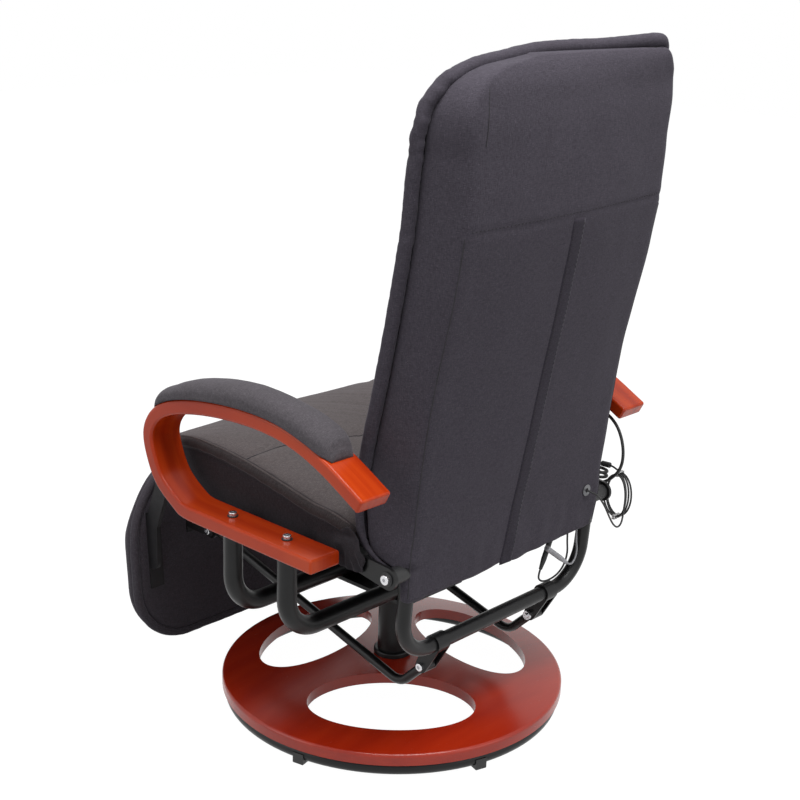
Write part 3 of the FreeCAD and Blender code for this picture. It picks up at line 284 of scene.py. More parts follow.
SLOT_MATERIALS = {
    "cherry_wood": arm_wood, "charcoal_fabric": back_cloth, "black_steel": black_paint,
    "bright_steel": bright_steel, "black_plastic": black_plastic, "dark_board": board_cloth,
    "black_cord": black_rubber, "grey_cord": grey_jacket, "clear_tie": tie_plastic,
    "bearing_plastic": nylon}

for part in frame["record"]["subparts"]:
    node_mesh = nodes[part["node"]].data
    node_mesh.materials.clear()
    node_mesh.materials.append(SLOT_MATERIALS[part["material_slot"]])
nodes["base_disc"].data.materials[0] = base_wood
nodes["cord_eyelet"].data.materials[0] = dark_steel
for hidden_iron in ("leg_arms", "leg_brackets", "leg_hinge_ears"):
    nodes[hidden_iron].data.materials[0] = dull_black


# Mesh helpers

def finish_piece(obj, material, body, replaced=()):
    """Gives a piece its material, the CAD nodes that it replaces and its body."""
    obj.data.materials.append(material)
    if replaced:
        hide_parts(*replaced)
    if body:
        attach(obj, body)


def cushion(obj, material, body, fill, *replaced):
    """Finishes a padded piece of cloth."""
    finish_piece(obj, material, body, replaced)


def smooth_faces(mesh):
    mesh.polygons.foreach_set("use_smooth", [True] * len(mesh.polygons))


def new_mesh(name, points, faces):
    """A smooth mesh object from points in millimetres."""
    mesh = bpy.data.meshes.new(name)
    mesh.from_pydata([tuple(p) for p in np.asarray(points, float) * MM], [], faces)
    mesh.validate()
    tidy = bmesh.new()
    tidy.from_mesh(mesh)
    bmesh.ops.recalc_face_normals(tidy, faces=tidy.faces)
    tidy.to_mesh(mesh)
    tidy.free()
    smooth_faces(mesh)
    return placed(name, mesh)


def ring_faces(rows, count, closed=True):
    """Quads between successive rings of count points."""
    faces = []
    steps = count if closed else count - 1
    for r in range(rows - 1):
        for c in range(steps):
            d = (c + 1) % count
            faces.append((r * count + c, r * count + d, (r + 1) * count + d, (r + 1) * count + c))
    return faces


def skin(name, rings):
    """A closed mesh through rings of equally many points, with a centre point at each end."""
    rings = np.asarray(rings, float)
    rows, count, _ = rings.shape
    points = np.concatenate([rings.reshape(-1, 3), [rings[0].mean(0)], [rings[-1].mean(0)]])
    faces = ring_faces(rows, count)
    first, last = rows * count, rows * count + 1
    for c in range(count):
        d = (c + 1) % count
        faces.append((first, d, c))
        faces.append((last, (rows - 1) * count + c, (rows - 1) * count + d))
    return new_mesh(name, points, faces)


def smooth(xs, ys, at):
    """A smooth curve through a table of points."""
    xs, ys, at = np.asarray(xs, float), np.asarray(ys, float), np.asarray(at, float)
    slopes = np.gradient(ys, xs)
    i = np.clip(np.searchsorted(xs, at) - 1, 0, len(xs) - 2)
    step = xs[i + 1] - xs[i]
    t = (at - xs[i]) / step
    return ((1 + 2 * t) * (1 - t) ** 2 * ys[i] + t * (1 - t) ** 2 * step * slopes[i]
            + t * t * (3 - 2 * t) * ys[i + 1] + t * t * (t - 1) * step * slopes[i + 1])


def row_at(rows, at):
    """A table's other columns, at a value of its first one."""
    return [float(smooth(rows[:, 0], rows[:, k], at)) for k in range(1, rows.shape[1])]


def along_line(points):
    """The distance along a line of points, at each of them."""
    return np.concatenate([[0], np.cumsum(np.linalg.norm(np.diff(points, axis=0), axis=1))])


def even(points, count, closed=False):
    """count points evenly spaced along a line of points."""
    points = np.asarray(points, float)
    if closed:
        points = np.concatenate([points, points[:1]])
    along = along_line(points)
    at = np.linspace(0, along[-1], count, endpoint=not closed)
    return np.stack([np.interp(at, along, points[:, k]) for k in range(points.shape[1])], axis=1)


def softened(ring, reach):
    """A closed ring of evenly spaced points, rounded over reach points to each side."""
    weights = np.exp(-0.5 * (np.arange(-2 * reach, 2 * reach + 1) / max(reach, 1)) ** 2)
    weights /= weights.sum()
    out = np.zeros_like(ring)
    for shift, weight in zip(range(-2 * reach, 2 * reach + 1), weights):
        out += weight * np.roll(ring, shift, axis=0)
    return out


def beside(*columns):
    return np.stack(columns, axis=1)


def spaced(*runs):
    """The numbers of several runs, each with its start, end and step."""
    return np.concatenate([np.arange(*run) for run in runs])


def ease(value, low, high):
    """0 below low, 1 above high, smooth between."""
    t = np.clip((np.asarray(value, float) - low) / (high - low), 0, 1)
    return t * t * (3 - 2 * t)


def wobble(points, size, seed):
    """Smooth noise from -1 to 1 at each point, with lumps of about the given size in millimetres."""
    shift = Vector((seed * 17.3, seed * 5.1, seed * 9.7))
    return np.array([noise.noise(Vector(p) / size + shift) for p in points])


def vectors(mesh, key):
    """The co or the normal of each vertex."""
    values = np.zeros(len(mesh.vertices) * 3)
    mesh.vertices.foreach_get(key, values)
    return values.reshape(-1, 3)


def reshape(obj, height):
    """Moves each vertex along its normal by height(points, normals), in millimetres."""
    mesh = obj.data
    points = vectors(mesh, "co") / MM
    normals = vectors(mesh, "normal")
    points += normals * height(points, normals)[:, None]
    mesh.vertices.foreach_set("co", (points * MM).ravel())
    mesh.update()


def inflate(obj, pinned, cap, pressure=4.0, frames=20):
    """Swells a pad as sewn cloth under pressure.

    pinned(points) tells which points are sewn, and cap is the most that a point moves.
    """
    mesh = obj.data
    rest = vectors(mesh, "co")
    group = obj.vertex_groups.new(name="sewn")
    group.add([int(i) for i in np.nonzero(pinned(rest / MM))[0]], 1.0, "REPLACE")
    cloth = obj.modifiers.new("cloth", "CLOTH")
    cloth.point_cache.frame_start = 1
    cloth.point_cache.frame_end = frames
    settings = cloth.settings
    settings.quality = 5
    settings.mass = 0.25
    settings.tension_stiffness = 12
    settings.compression_stiffness = 12
    settings.shear_stiffness = 5
    settings.bending_stiffness = 0.4
    settings.use_pressure = True
    settings.uniform_pressure_force = pressure
    settings.effector_weights.gravity = 0
    settings.vertex_group_mass = "sewn"
    cloth.collision_settings.use_collision = False
    for step in range(1, frames + 1):
        scene.frame_set(step)
    shown = obj.evaluated_get(bpy.context.evaluated_depsgraph_get()).to_mesh()
    move = vectors(shown, "co") - rest
    far = np.linalg.norm(move, axis=1)
    move *= (np.minimum(far, cap * MM) / np.maximum(far, 1e-9))[:, None]
    obj.modifiers.remove(cloth)
    obj.vertex_groups.remove(group)
    mesh.vertices.foreach_set("co", (rest + move).ravel())
    mesh.update()
    scene.frame_set(1)


def tube(name, path, radius, sides=14, gather=0.0, pitch=14.0, closed=False, seed=1.0):
    """A padded roll along a path, its cloth gathered in small folds.

    radius and gather may each be one value or one for every point of the path.
    """
    path = np.asarray(path, float)
    radius = np.broadcast_to(radius, len(path))
    gather = np.broadcast_to(gather, len(path))
    ahead = np.roll(path, -1, axis=0) - np.roll(path, 1, axis=0)
    if not closed:
        ahead[0] = path[1] - path[0]
        ahead[-1] = path[-1] - path[-2]
    ahead /= np.linalg.norm(ahead, axis=1)[:, None]
    side = np.cross(ahead[0], (0.3, 0.5, 0.8))
    side /= np.linalg.norm(side)
    angles = np.linspace(0, 2 * math.pi, sides, endpoint=False)
    rings = []
    for k, (point, direction) in enumerate(zip(path, ahead)):
        side = side - direction * (side @ direction)
        side /= np.linalg.norm(side)
        other = np.cross(direction, side)
        around = np.cos(angles)[:, None] * side + np.sin(angles)[:, None] * other
        size = radius[k] * (1 + gather[k] * wobble(point / pitch + around * 0.8, 1.0, seed))
        rings.append(point + around * size[:, None])
    if closed:
        rows = len(rings)
        faces = ring_faces(rows, sides)
        faces += [((rows - 1) * sides + c, (rows - 1) * sides + (c + 1) % sides, (c + 1) % sides, c)
                  for c in range(sides)]
        return new_mesh(name, np.concatenate(rings), faces)
    return skin(name, rings)


def joined(name, objects):
    """One object of several meshes, which must not ride on anything yet."""
    merged = bmesh.new()
    for obj in objects:
        merged.from_mesh(obj.data)
        bpy.data.objects.remove(obj)
    mesh = bpy.data.meshes.new(name)
    merged.to_mesh(mesh)
    merged.free()
    smooth_faces(mesh)
    return placed(name, mesh)


def thicken(obj, thickness, offset):
    """Gives a sheet its thickness in millimetres."""
    solid = obj.modifiers.new("thickness", "SOLIDIFY")
    solid.thickness = thickness * MM
    solid.offset = offset


def tree_of(obj):
    mesh = obj.data
    return BVHTree.FromPolygons([v.co for v in mesh.vertices], [tuple(p.vertices) for p in mesh.polygons])


def hit(tree, start, direction):
    """Where a ray from start, in millimetres, first meets a surface, and the normal there."""
    place, normal, _, _ = tree.ray_cast(Vector(start) * MM, Vector(direction))
    return np.array(place) / MM, np.array(normal)


def stitches(name, path, normals, length=4.2, gap=2.6, width=0.9):
    """Sewn stitches along a path on a surface, each a small raised dash."""
    path, normals = np.asarray(path, float), np.asarray(normals, float)
    along = along_line(path)
    points, faces = [], []
    profile = ((-0.5, -0.3, -0.2), (-0.5, 0.3, -0.2), (-0.28, 0.5, 0.45), (-0.28, -0.5, 0.45),
               (0.28, 0.5, 0.45), (0.28, -0.5, 0.45), (0.5, 0.3, -0.2), (0.5, -0.3, -0.2))
    quads = ((0, 1, 2, 3), (3, 2, 4, 5), (5, 4, 6, 7), (0, 3, 5, 7), (1, 6, 4, 2), (0, 7, 6, 1))
    for middle in np.arange(length, along[-1] - length, length + gap):
        place, ahead = (np.array([np.interp(at, along, path[:, k]) for k in range(3)])
                        for at in (middle, middle + 1))
        ahead -= place
        ahead /= np.linalg.norm(ahead)
        rise = normals[min(int(np.searchsorted(along, middle)), len(normals) - 1)]
        across = np.cross(rise, ahead)
        start = len(points)
        for a, b, c in profile:
            points.append(place + ahead * a * length + across * b * width + rise * c * width)
        faces += [tuple(start + i for i in quad) for quad in quads]
    return new_mesh(name, points, faces)


# Cords

def cord_curve(name, points, diameter):
    """A round cord on a smooth line with the route's points as its control points."""
    curve = bpy.data.curves.new(name, "CURVE")
    curve.dimensions = "3D"
    curve.bevel_depth = diameter / 2 * MM
    curve.bevel_resolution = 4
    curve.use_fill_caps = True
    curve.resolution_u = 8
    spline = curve.splines.new("NURBS")
    spline.points.add(len(points) - 1)
    for control, point in zip(spline.points, points):
        control.co = (*(Vector(point) * MM), 1.0)
    spline.order_u = 3
    spline.use_endpoint_u = True
    return placed(name, curve)


def line_of(obj):
    """The points along a cord's line."""
    bare = obj.data.copy()
    bare.bevel_depth = 0
    holder = bpy.data.objects.new("bare_line", bare)
    mesh = bpy.data.meshes.new_from_object(holder)
    points = [tuple(v.co) for v in mesh.vertices]
    bpy.data.objects.remove(holder)
    bpy.data.curves.remove(bare)
    bpy.data.meshes.remove(mesh)
    return points


def length_of(points):
    points = np.asarray(points, float)
    return float(np.linalg.norm(np.diff(points, axis=0), axis=1).sum())


HANDSET_ROUTE = [
    (-248.2, 4, 505), (-248.2, 4, 520), (-248.7, 20, 534), (-249, 50, 529), (-252, 80, 506),
    (-262, 112, 483), (-270, 148, 467), (-268, 186, 459), (-262, 214, 447), (-258, 230, 426),
    (-257, 236, 400), (-258.5, 231, 375), (-260, 214, 355), (-260, 193.5, 341.8), (-260, 173.5, 342.8)]
LOOP_TURNS = 2.5
LOOP_STEPS = 14         # points of a turn
for step in range(1, int(LOOP_TURNS * LOOP_STEPS) + 1):
    t = step / LOOP_STEPS
    angle = -2 * math.pi * t
    HANDSET_ROUTE.append((-276 + 16 * math.cos(angle), 168.5 + 24.5 * math.sin(angle), 343 + 7.6 * t))
HANDSET_ROUTE.append((-292, 174.5, 362.2))

LEAD_ROUTE = [(-292, 188.5, 362.9), (-290.5, 196, 363), (-287.5, 205, 361.5)]
HANK_TURNS = 3.25
HANK_STEPS = 16
for step in range(0, int(HANK_TURNS * HANK_STEPS) + 1):
    t = step / HANK_STEPS
    angle = math.pi / 2 - 2 * math.pi * t
    sway = 1 + 0.07 * math.sin(2.1 * t + 0.6)
    LEAD_ROUTE.append((-285 + (4 + 1.6 * math.cos(angle) ** 2) * t, 216.5 + 21 * sway * math.cos(angle),
                       324 + 36 * math.sin(angle)))
LEAD_ROUTE += [(-266.4, 237.5, 307), (-259, 241, 290), (-244, 244, 286), (-229, 245, 296), (-215, 246, 314),
               (-202, 246, 334), (-188, 245, 351), (-177.5, 244, 360.5), (-174, 230, 363)]
BLACK_ROUTE = [(-172, 201, 299), (-172, 201, 274), (-176, 201, 252), (-170, 201, 234), (-156, 201, 222.5),
               (-138, 201, 218.5), (-121, 201, 219), (-108, 201, 224.5), (-103.6, 201, 233),
               (-108.3, 201, 243)]
GREY_ROUTE = [(-180, 212, 299), (-180, 212, 276), (-184.5, 212, 260), (-183.5, 212, 248), (-178, 212, 239),
              (-168.8, 212, 235.4), (-160, 212, 242)]

handset_flex = cord_curve("handset_flex", HANDSET_ROUTE, 5.0)
finish_piece(handset_flex, black_rubber, "seat", ("handset_cord", "handset_cord_loops"))
length_of(line_of(handset_flex))

lead_curve = cord_curve("thin_lead_line", LEAD_ROUTE, 3.0)
lead_line = line_of(lead_curve)
thin_lead = placed("thin_lead", bpy.data.meshes.new_from_object(lead_curve))
bpy.data.objects.remove(lead_curve)
smooth_faces(thin_lead.data)
finish_piece(thin_lead, black_rubber, None, ("lead_start", "lead_hank", "lead_tail"))
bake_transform(thin_lead)

for lead_name, route, jacket, slot_name, node_name, plug in (
        ("hem_lead_black", BLACK_ROUTE, black_rubber, "black_cord", "black_lead", "black_connector"),
        ("hem_lead_grey", GREY_ROUTE, grey_jacket, "grey_cord", "grey_lead", "grey_connector")):
    lead = cord_curve(lead_name, route, 3.0)
    finish_piece(lead, jacket, "backrest", (node_name,))
    length_of(line_of(lead))


# Back cover and front pad

# Height z, half-width and y of the welt, crown of the front pad, then half-width, y and crown of the
# rear panel
BACK_ROWS = np.array([
    (297, 218, 207, 2, 213, 221, 2), (333, 221, 204, 2, 215, 225, 3), (346, 225, 198, 2, 216, 226, 3),
    (354, 228, 170, 2, 217, 227, 3), (372, 230, 148, 2, 218, 228, 4), (396, 233, 138, 4, 218, 230, 5),
    (420, 235, 137, 12, 218, 232, 7), (489, 235, 147, 33, 218, 239, 10),
    (600, 236, 172, 40, 217, 255, 13), (720, 236, 196, 36, 217, 281, 11),
    (816, 236, 212, 34, 217, 296, 12), (900, 236, 221, 36, 217, 300, 10),
    (960, 228, 230, 34, 214, 300, 7), (1000, 207, 243, 26, 196, 294, 5),
    (1022, 177, 253, 16, 171, 283, 4), (1034, 137, 261, 8, 132, 271, 3)], float)
HEM = 297.0
TOP = 1021.0            # the cover and the pad end here, behind the roll
# Height, then the x of the roll on the left and on the right, where the corners bend in
EDGE_ROWS = np.array([
    (900, 230, -230), (938, 229.5, -230), (962, 223.5, -231), (980, 213, -230), (993, 199.5, -226),
    (1003, 177, -219), (1011, 147.5, -212.5), (1016, 111.5, -208), (1021, 80, -203)], float)
ROLL = 9.5              # radius of the padded roll round the back
ROLL_SETBACK = 6.0      # its line inside the half-width, and behind the welt
TUCK = 5.0              # the cover is sewn on this far inside the roll's line


def back_row(z):
    return row_at(BACK_ROWS, z)


def above_hinge(z):
    """0 beside the hinge, where the roll thins out, and 1 above it."""
    return float(ease(z, 345.0, 405.0))


def edges(z):
    """x of the roll on the left and on the right at a height."""
    if z <= EDGE_ROWS[0, 0]:
        half = back_row(z)[0] - ROLL_SETBACK * (0.25 + 0.75 * above_hinge(z))
        return half, -half
    return row_at(EDGE_ROWS, z)


def swept(z, across):
    """How far the right top corner, which is pulled out square, leans back."""
    return 14.0 * float(ease(z, 975.0, 1021.0)) * ((1 - across) / 2) ** 3


def cover_ring(z, inset=0.0):
    """The cover's section at a height."""
    half, welt_y, _, rear_half, rear_y, rear_crown = back_row(z)
    tuck = TUCK * above_hinge(z)
    taper = max(half - rear_half, tuck + 1.0)
    front_y, rear_y = welt_y + 1.8 * tuck + inset * 0.3, rear_y - inset
    back = np.linspace(0, 1, 24)
    inward = tuck + inset + (taper - tuck) * back - 12.0 * back * (1 - back)
    depth = front_y + (rear_y - front_y) * back
    left_edge, right_edge = edges(z)
    left = beside(left_edge - inward, depth)
    right = beside(right_edge + inward, depth + swept(z, -1.0))[::-1]
    across = np.linspace(1, -1, 90)
    middle, reach = (left[-1, 0] + right[0, 0]) / 2, (left[-1, 0] - right[0, 0]) / 2
    bulge = rear_y + rear_crown * (1 - across ** 2) + swept(z, across)
    rear = beside(middle + reach * across, bulge)
    front_x = np.linspace(right[-1, 0], left[0, 0], 60)
    front = beside(front_x, front_y + swept(z, np.linspace(-1, 1, 60)))
    ring = even(np.concatenate([left, rear[1:-1], right, front[1:-1]]), 240, closed=True)
    return np.concatenate([softened(ring, 2), np.full((240, 1), z)], axis=1)


def seam_height(x):
    """z of the seam sewn across the rear panel."""
    return 815.5 - 0.022 * x


def dart_x(z):
    """x of the short dart sewn at the top of the rear panel."""
    return 188.0 - 0.097 * (z - 921.0)


def cover_relief(points, normals):
    """Slack folds, the pull of the hem, and the grooves of the sewn seams."""
    x, y, z = points.T
    rear = ease(normals[:, 1], 0.2, 0.7)
    depth = 1.6 * wobble(points * (1, 1, 0.6), 120.0, 1.0) + 0.7 * wobble(points, 45.0, 2.0)
    low = ease(z, 420.0, HEM)
    depth += low * 2.2 * wobble(points * (1, 1, 0.35), 30.0, 3.0)
    depth -= rear * 0.9 * np.exp(-((z - seam_height(x)) / 2.6) ** 2)
    depth += rear * 0.4 * np.exp(-((np.abs(z - seam_height(x)) - 9) / 6.0) ** 2)
    near_top = ease(z, 905.0, 925.0)
    depth -= rear * near_top * 0.8 * np.exp(-((x - dart_x(z)) / 3.0) ** 2)
    return depth


def build_cover():
    heights = np.append(spaced((HEM, 1000.0, 6.0), (1000.0, TOP, 2.0)), TOP)
    inner = [cover_ring(HEM, 5.0)]
    inner[0][:, 2] += 16.0
    lip = cover_ring(HEM, 3.2)
    lip[:, 2] += 0.8
    rings = inner + [lip] + [cover_ring(z) for z in heights]
    crown = cover_ring(TOP, 5.0)
    crown[:, 2] += 1.6
    rings.append(crown)
    cover = skin("back_cover_cloth", rings)
    reshape(cover, cover_relief)
    mesh = cover.data
    for vertex in mesh.vertices:
        fall = float(ease(vertex.co.z / MM, HEM + 60, HEM))
        if fall > 0:
            wave = noise.noise(Vector((vertex.co.x * 22, vertex.co.y * 22, 4.0)))
            lump = noise.noise(Vector((vertex.co.x * 60, vertex.co.y * 60, 7.0)))
            lump *= float(ease(abs(vertex.co.x), 0.14, 0.2))
            vertex.co.z += fall * (4.5 * wave + 3.5 * lump - 1.0) * MM
    mesh.update()
    return cover


cover = build_cover()
cover_tree = tree_of(cover)


def pad_ring(z):
    """The front pad's section at a height."""
    _, welt_y, crown, _, _, _ = back_row(z)
    left_edge, right_edge = edges(z)
    middle, half = (left_edge + right_edge) / 2, (left_edge - right_edge) / 2
    rear = welt_y - 0.6
    across = np.linspace(1, -1, 80)
    edge = np.maximum(0.0, 1 - np.abs(across) ** 7)
    depth = 3.0 + 10.0 * float(ease(z, 385.0, 460.0))
    front_y = rear - depth * edge - crown * (1 - np.abs(across) ** 2.2) + swept(z, across)
    front = beside(middle + half * across, front_y)
    behind = np.linspace(-1, 1, 50)[1:-1]
    behind = beside(middle + half * behind, rear + swept(z, behind))
    ring = even(np.concatenate([front, behind]), 180, closed=True)
    return np.concatenate([softened(ring, 1), np.full((180, 1), z)], axis=1)


FRONT_SEAMS = (600.0, 815.0)    # heights


def pad_relief(points, normals):
    """Slack, the cross seams and the gathers beside them."""
    x, y, z = points.T
    front = ease(-normals[:, 1], 0.1, 0.6)
    depth = 1.4 * wobble(points, 110.0, 5.0) + 0.6 * wobble(points, 40.0, 6.0)
    for seam in FRONT_SEAMS:
        depth -= front * 7.0 * np.exp(-np.abs(z - seam) / 7.0)
        gathers = wobble(beside(x * 3.2, z * 0.2, 0 * x), 40.0, seam)
        depth += front * 1.6 * gathers * np.exp(-((z - seam) / 34.0) ** 2)
    return depth


def build_pad():
    heights = np.append(spaced((372.0, 1000.0, 6.5), (1000.0, TOP, 3.0)), TOP)
    pad = skin("back_pad_cloth", [pad_ring(z) for z in heights])
    inflate(pad, lambda p: (np.abs(p[:, 1] - smooth(BACK_ROWS[:, 0], BACK_ROWS[:, 2], p[:, 2])) < 4.0)
            | (np.min([np.abs(p[:, 2] - s) for s in FRONT_SEAMS], axis=0) < 3.5), 6.0)
    reshape(pad, pad_relief)
    return pad


pad = build_pad()

ROLL_FOOT = 340.0       # the roll ends beside the hinge
LEFT_CORNER = [(229.5, 233, 938.5), (223.5, 236, 962.5), (213, 242, 980), (199.5, 246.5, 993),
               (177, 249.5, 1003), (147.5, 253, 1011), (111.5, 256, 1016), (83, 258, 1020.5)]
TOP_LINE = [(53, 259, 1023.7), (-5, 262, 1025.8), (-78, 270, 1026.5), (-150, 280, 1030),
            (-178, 285, 1031.4)]
RIGHT_CORNER = [(-193, 285, 1030), (-205, 280.5, 1021.5), (-219, 265.5, 1004), (-229, 248, 977),
                (-230, 236, 943.5)]


def roll_line():
    """Centre line of the roll, from the left foot over the top to the right foot."""
    left = [(edges(z)[0], back_row(z)[1] + ROLL_SETBACK * above_hinge(z), z)
            for z in np.arange(ROLL_FOOT, 930.0, 14.0)]
    right = [(-x, y, z) for x, y, z in left[::-1]]
    control = np.array(left + LEFT_CORNER + TOP_LINE + RIGHT_CORNER + right, float)
    along = along_line(control)
    at = np.arange(0, along[-1], 3.5)
    return np.stack([smooth(along, control[:, k], at) for k in range(3)], axis=1)


roll_path = roll_line()
roll_rise = roll_path[:, 2]
roll_radius = ROLL * (0.32 + 0.3 * ease(roll_rise, ROLL_FOOT, 390.0) + 0.38 * ease(roll_rise, 390.0, 500.0))
roll_gather = (0.05 + 0.12 * ease(roll_rise, 850.0, 930.0) * ease(roll_rise, 1015.0, 985.0)
               + 0.08 * np.exp(-((roll_rise - 800.0) / 22.0) ** 2))
welt = tube("back_pad_roll", roll_path, roll_radius, sides=20, gather=roll_gather, pitch=9.0)
pad_all = joined("back_front_pad", [pad, welt])
cushion(pad_all, back_cloth, "backrest", 0.75, "back_pad")
cushion(cover, back_cloth, "backrest", 0.6, "back_cover")


# Closure strip down the middle of the rear panel
STRIP_HALF = 12.5
STRIP_TOP = 815.0


def strip_middle(z):
    return float(smooth([HEM, 450.0, 650.0, STRIP_TOP], [7.0, -4.0, -8.0, -4.0], z))


def build_strip():
    rows, hems = [], {-1: ([], []), 1: ([], [])}
    offsets = ((-1.0, -0.4), (-0.94, 0.9), (-0.6, 1.3), (0.0, 1.4), (0.6, 1.3), (0.94, 0.9), (1.0, -0.4))
    for z in np.arange(HEM - 1.0, STRIP_TOP, 5.0):
        row = []
        for across, rise in offsets:
            x = strip_middle(z) + STRIP_HALF * across
            place, normal = hit(cover_tree, (x, 400, max(z, HEM + 6)), (0, -1, 0))
            row.append((x, place[1] + rise, z))
            if abs(abs(across) - 0.6) < 0.01:
                side = 1 if across > 0 else -1
                hems[side][0].append((strip_middle(z) + side * (STRIP_HALF - 3.0), place[1] + 1.3, z))
                hems[side][1].append(normal)
        rows.append(row)
    points = np.array(rows).reshape(-1, 3)
    strip = new_mesh("closure_strip_cloth", points, ring_faces(len(rows), len(offsets), closed=False))
    thicken(strip, 1.2, -1)
    return strip, hems


strip, strip_edges = build_strip()
finish_piece(strip, strip_cloth, "backrest", ("closure_strip",))


def on_rear(xs, zs, rise):
    """A line laid on the rear panel, and the normals there."""
    path, normals = [], []
    for x, z in zip(xs, zs):
        place, normal = hit(cover_tree, (x, 400, z), (0, -1, 0))
        path.append(place + normal * rise)
        normals.append(normal)
    return path, normals


seam_x = np.linspace(203.0, -205.0, 110)
sewn = [stitches("seam_stitches", *on_rear(seam_x, seam_height(seam_x) + 3.4, 0.3))]
for edge_path, edge_normals in strip_edges.values():
    sewn.append(stitches("strip_stitches", edge_path, edge_normals))
dart_z = np.linspace(918.0, 986.0, 30)
sewn.append(tube("dart_seam", on_rear(dart_x(dart_z), dart_z, 0.1)[0], 0.8, sides=6))
for side in SIDES:
    corner_path = []
    for z in np.arange(HEM + 6.0, 812.0, 8.0):
        corner_x = edges(z)[0] - (back_row(z)[0] - back_row(z)[3]) - 1.0
        place, normal = hit(cover_tree, (side * (corner_x + 150), back_row(z)[4] + 149, z), (-side, -1, 0))
        corner_path.append(place + normal * 0.1)
    sewn.append(tube("corner_seam", even(corner_path, 240), 0.8, sides=6))
back_stitching = joined("back_stitching", sewn)
finish_piece(back_stitching, thread, "backrest")


# Seat cushion

# y, half-width, height of the welt, crown
SEAT_ROWS = np.array([
    (-309, 228, 376, 2), (-298, 235, 393, 2.5), (-270, 239, 413, 3), (-223, 240, 427.5, 3),
    (-134, 240, 431, 5), (-68, 240, 424.5, 8.5), (-4, 240, 414, 10), (58, 239, 402, 8),
    (118, 234, 391, 6), (136, 224, 376, 4)], float)
SEAT_FLOOR = 362.2
SEAT_GROOVE = 2.0       # the top sinks this far beside the roll
SEAT_ROLL = 9.0         # radius of the padded roll
ROLL_IN = 3.0           # its line inside the half-width
ROLL_DOWN = 6.5         # and below the welt
FRONT_ROLL = (224.0, -306.0, 381.0)
ROLL_SIDES = (slice(0, 148), slice(252, 400))   # the points of its line along the seat's sides


def seat_seam_y(x):
    """y of the cross seam, which bows towards the back in the middle."""
    return -89.0 + 50.0 * np.exp(-(np.asarray(x) / 100.0) ** 2)


def seat_row(y):
    return row_at(SEAT_ROWS, y)


def seat_ring(y):
    half, welt_z, crown = seat_row(y)
    across = np.linspace(1, -1, 90)
    sunk = SEAT_GROOVE * np.exp(-(half * (1 - np.abs(across)) / 10.0) ** 2)
    top = beside(half * across, welt_z + crown * (1 - np.abs(across) ** 2.4) - sunk)
    fall = np.linspace(0, 1, 14)[1:-1]
    draw = 4.0 * np.sin(math.pi * fall)
    right = beside(-half + draw, welt_z + (SEAT_FLOOR - welt_z) * fall)
    left = right[::-1] * (-1, 1)
    under = beside(np.linspace(-half, half, 60), np.full(60, SEAT_FLOOR))
    ring = even(np.concatenate([top, right, under, left]), 220, closed=True)
    ring = softened(ring, 1)
    return beside(ring[:, 0], np.full(220, y), ring[:, 1])


def seat_relief(points, normals):
    """The cross seam, the creases drawn at its right, and the gathers at the rear."""
    x, y, z = points.T
    top = ease(normals[:, 2], 0.3, 0.8)
    depth = top * (1.2 * wobble(points, 90.0, 8.0) + 0.5 * wobble(points, 35.0, 9.0))
    depth -= top * 3.2 * np.exp(-np.abs(y - seat_seam_y(x)) / 5.0)
    across = 0.85 * (x + 60) + 0.52 * (y + 140) + 6.0 * wobble(points, 60.0, 12.0)
    drawn = np.exp(-(((x + 75) / 90) ** 2 + ((y + 135) / 75) ** 2))
    depth += top * drawn * (1.1 * np.sin(across / 2.9) + 0.8 * np.sin(across / 4.7 + 1.0))
    folds = wobble(beside(x * 2.4 - 0.5 * y, y * 0.35, 0 * x), 34.0, 11.0)
    depth += top * 3.0 * folds * ease(y, 20.0, 110.0)
    return depth


def build_seat():
    places = spaced((-309.0, -262.0, 3.0), (-262.0, 110.0, 6.0), (110.0, 136.5, 3.0))
    seat = skin("seat_pad", [seat_ring(y) for y in places])
    inflate(seat, lambda p: (p[:, 2] < SEAT_FLOOR + 3.0)
            | (p[:, 2] < smooth(SEAT_ROWS[:, 0], SEAT_ROWS[:, 2], p[:, 1]) + 3.0) & (np.abs(p[:, 0]) > 215)
            | (np.abs(p[:, 1] - seat_seam_y(p[:, 0])) < 3.5) & (p[:, 2] > 395), 3.5)
    reshape(seat, seat_relief)
    side = [(seat_row(y)[0] - ROLL_IN, y, seat_row(y)[1] - ROLL_DOWN) for y in np.arange(132.0, -300.0, -5.0)]
    reach, front_y, front_z = FRONT_ROLL
    front = [(x, front_y, front_z) for x in np.linspace(reach, -reach, 60)]
    line = even(np.array(side + front + [(-x, y, z) for x, y, z in side[::-1]]), 400)
    roll = tube("seat_roll", line, SEAT_ROLL, sides=16, gather=0.08, pitch=14.0, seed=2.0)
    return seat, roll, line


seat_pad, seat_roll, seat_roll_line = build_seat()
# The seat roll takes the darker cloth with painted shade
cushion(seat_roll, painted_shade_roll_cloth, "seat", 0.8)
cushion(seat_pad, seat_cloth, "seat", 0.7, "seat_cushion")
seat_tree = tree_of(seat_pad)
seam_line = [hit(seat_tree, (x, float(seat_seam_y(x)), 600), (0, 0, -1))[0]
             for x in np.linspace(-233.0, 233.0, 110)]
outward = np.gradient(seat_roll_line, axis=0)[:, [1, 0, 2]] * (-1, 1, 0)
outward /= np.linalg.norm(outward, axis=1)[:, None]
under_roll = seat_roll_line + 4.6 * outward - (0, 0, 7.9)
crest_line = seat_roll_line + 2.6 * outward + (0, 0, 8.4)
crest = tube("seat_crest", crest_line, 1.7, sides=8, gather=0.1, pitch=9.0, seed=4.0)
cushion(crest, seat_cloth, "seat", 0.9)
seat_seam = joined("seat_seam", [tube("cross_seam", even(seam_line, 320), 0.9, sides=6)]
                   + [tube("roll_seam", under_roll[run], 1.2, sides=6) for run in ROLL_SIDES])
finish_piece(seat_seam, thread, "seat")

